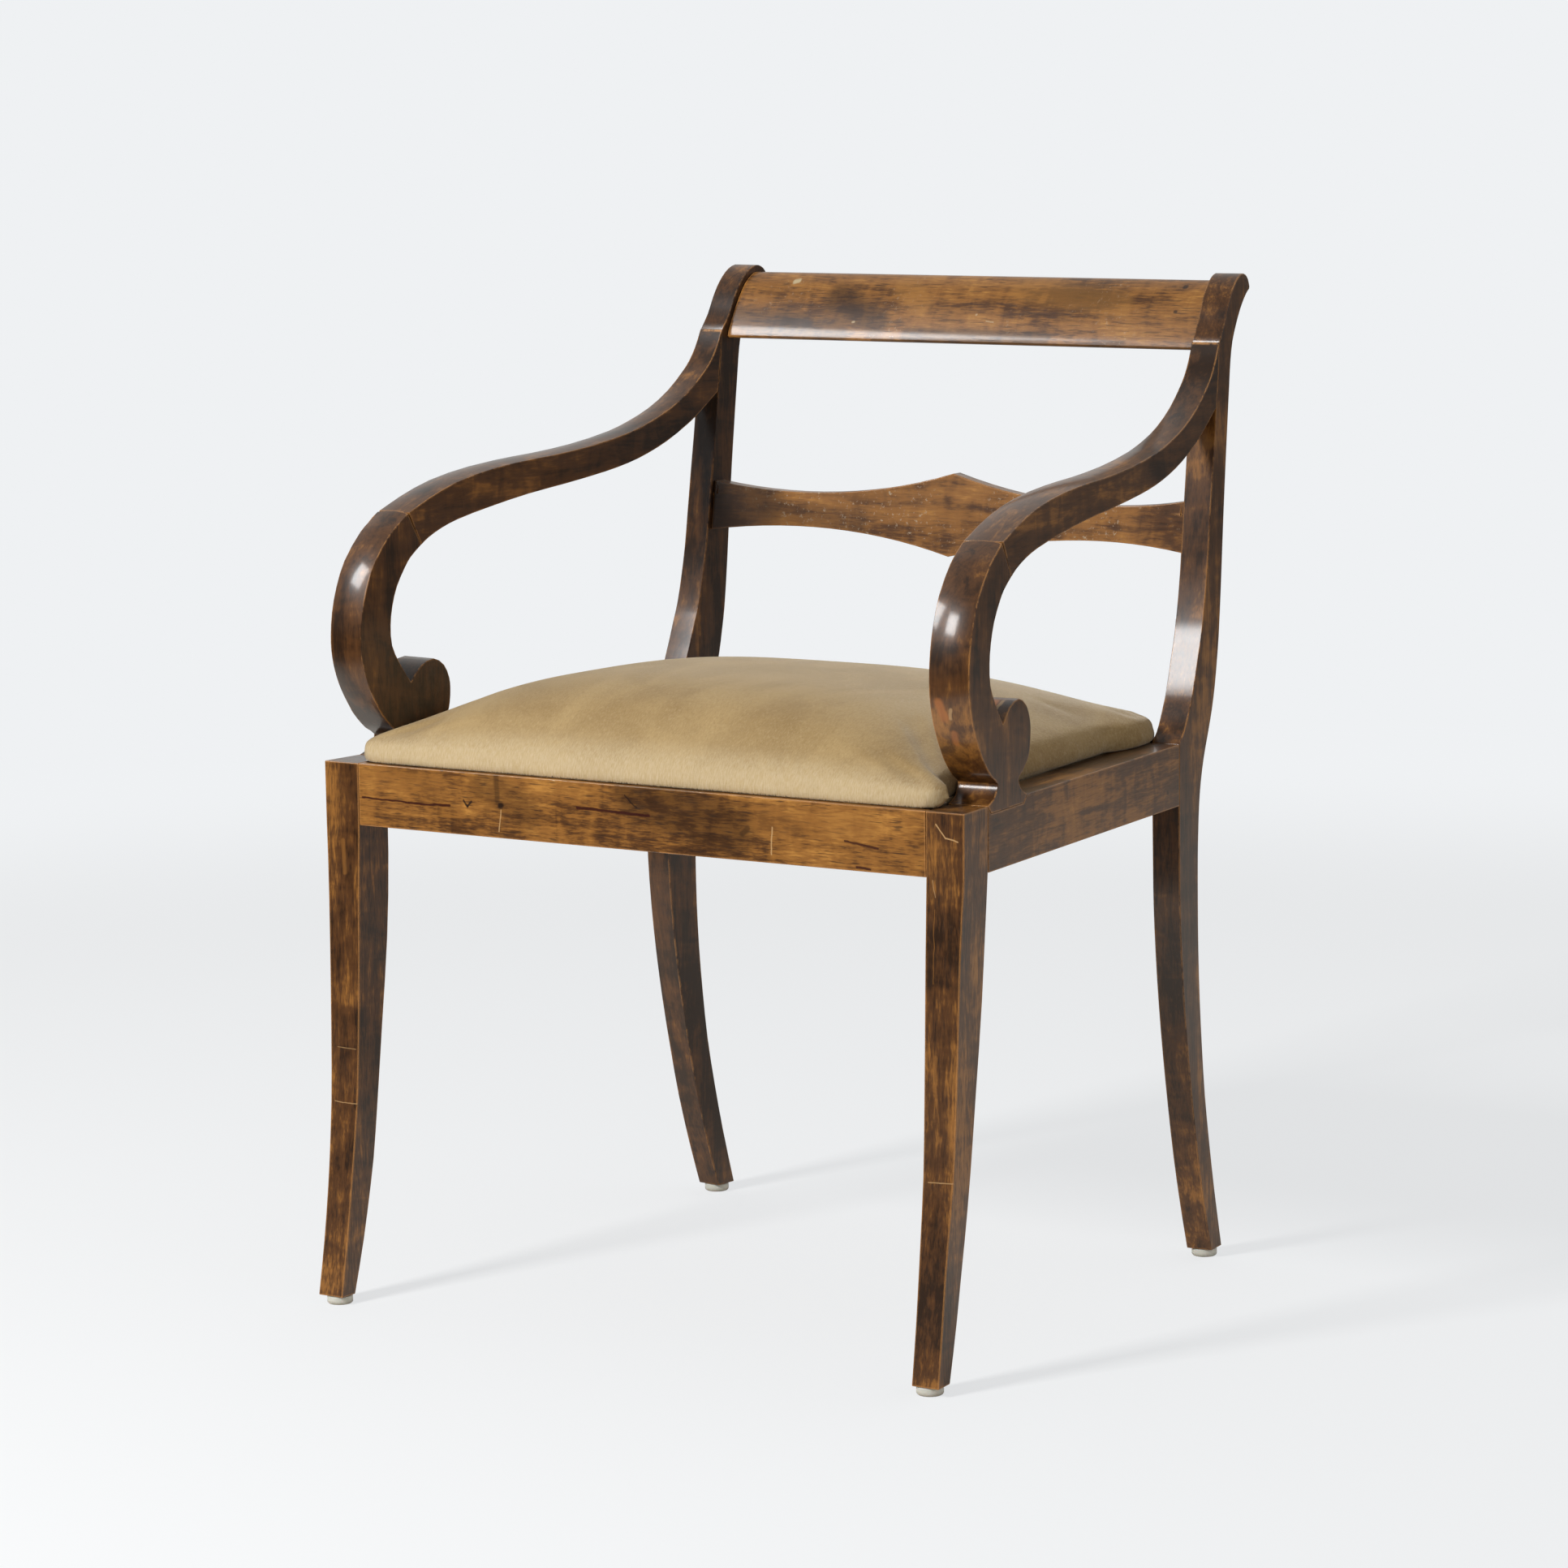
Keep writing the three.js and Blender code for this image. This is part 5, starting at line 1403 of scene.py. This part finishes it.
def bare_birch():
    r = Recipe("bare_birch")
    grain = r.place(GRAIN_ACROSS)
    lines = r.noise(grain, (1, 8, 8), scale=14, detail=4, rough=0.6, distortion=0.5)
    fibre = r.noise(grain, (0.12, 1, 1), scale=520, detail=2, rough=0.6)
    wood = r.mix(r.band(lines, 0.35, 0.65), BARE_LINES, BARE_BIRCH)
    wood = r.mix(r.band(fibre, 0.5, 0.75, 0, 0.35), wood, BARE_FIBRE)
    fine = r.bump(fibre, depth=0.0001, strength=0.5)
    return r.surface(Base_Color=wood, Roughness=0.6, Normal=fine)


def yellowed_nylon():
    r = Recipe("nylon")
    at = r.place()
    low = r.band(r.part(at, 2), *DIRT_HEIGHTS)
    dirt = r.calc("MULTIPLY", low, r.noise(at, scale=300, detail=3, rough=0.7))
    base = r.mix(dirt, NYLON, NYLON_DIRT)
    return r.surface(Base_Color=base, Roughness=0.42, Subsurface_Weight=0.1)


def worn_steel():
    r = Recipe("steel")
    spots = r.noise(r.place(), scale=500, detail=3, rough=0.6)
    base = r.mix(r.band(spots, 0.45, 0.7), STEEL, STEEL_SPOTS)
    dull = r.band(spots, 0.3, 0.7, 0.25, 0.5)
    return r.surface(Base_Color=base, Roughness=dull, Metallic=1.0)


inner_finishes = {
    "plain_birch": bare_birch(), "glide_plastic": yellowed_nylon(), "steel": worn_steel(),
}
print("inner finishes", sorted(inner_finishes))

# %% [markdown]
# Each of these inner pieces keeps the shape of its solid, since nothing on it is soft, and
# gets eased edges: the blocks, ledgers and bars as wide as on the boards outside, the small
# hardware finer.

# %% Inner pieces
FINE_ARRIS = 0.0004

for node, solid in nodes.items():
    slot = solid.data.materials[0].name.split(".")[0]
    if slot in inner_finishes:
        piece = free_copy(node, f"finished_{node}")
        dress(piece, inner_finishes[slot])
        ease(piece, ARRIS if slot == "plain_birch" else FINE_ARRIS)
        hand_in(piece, node, body_of[node])
print("inner pieces dressed")

# %% [markdown]
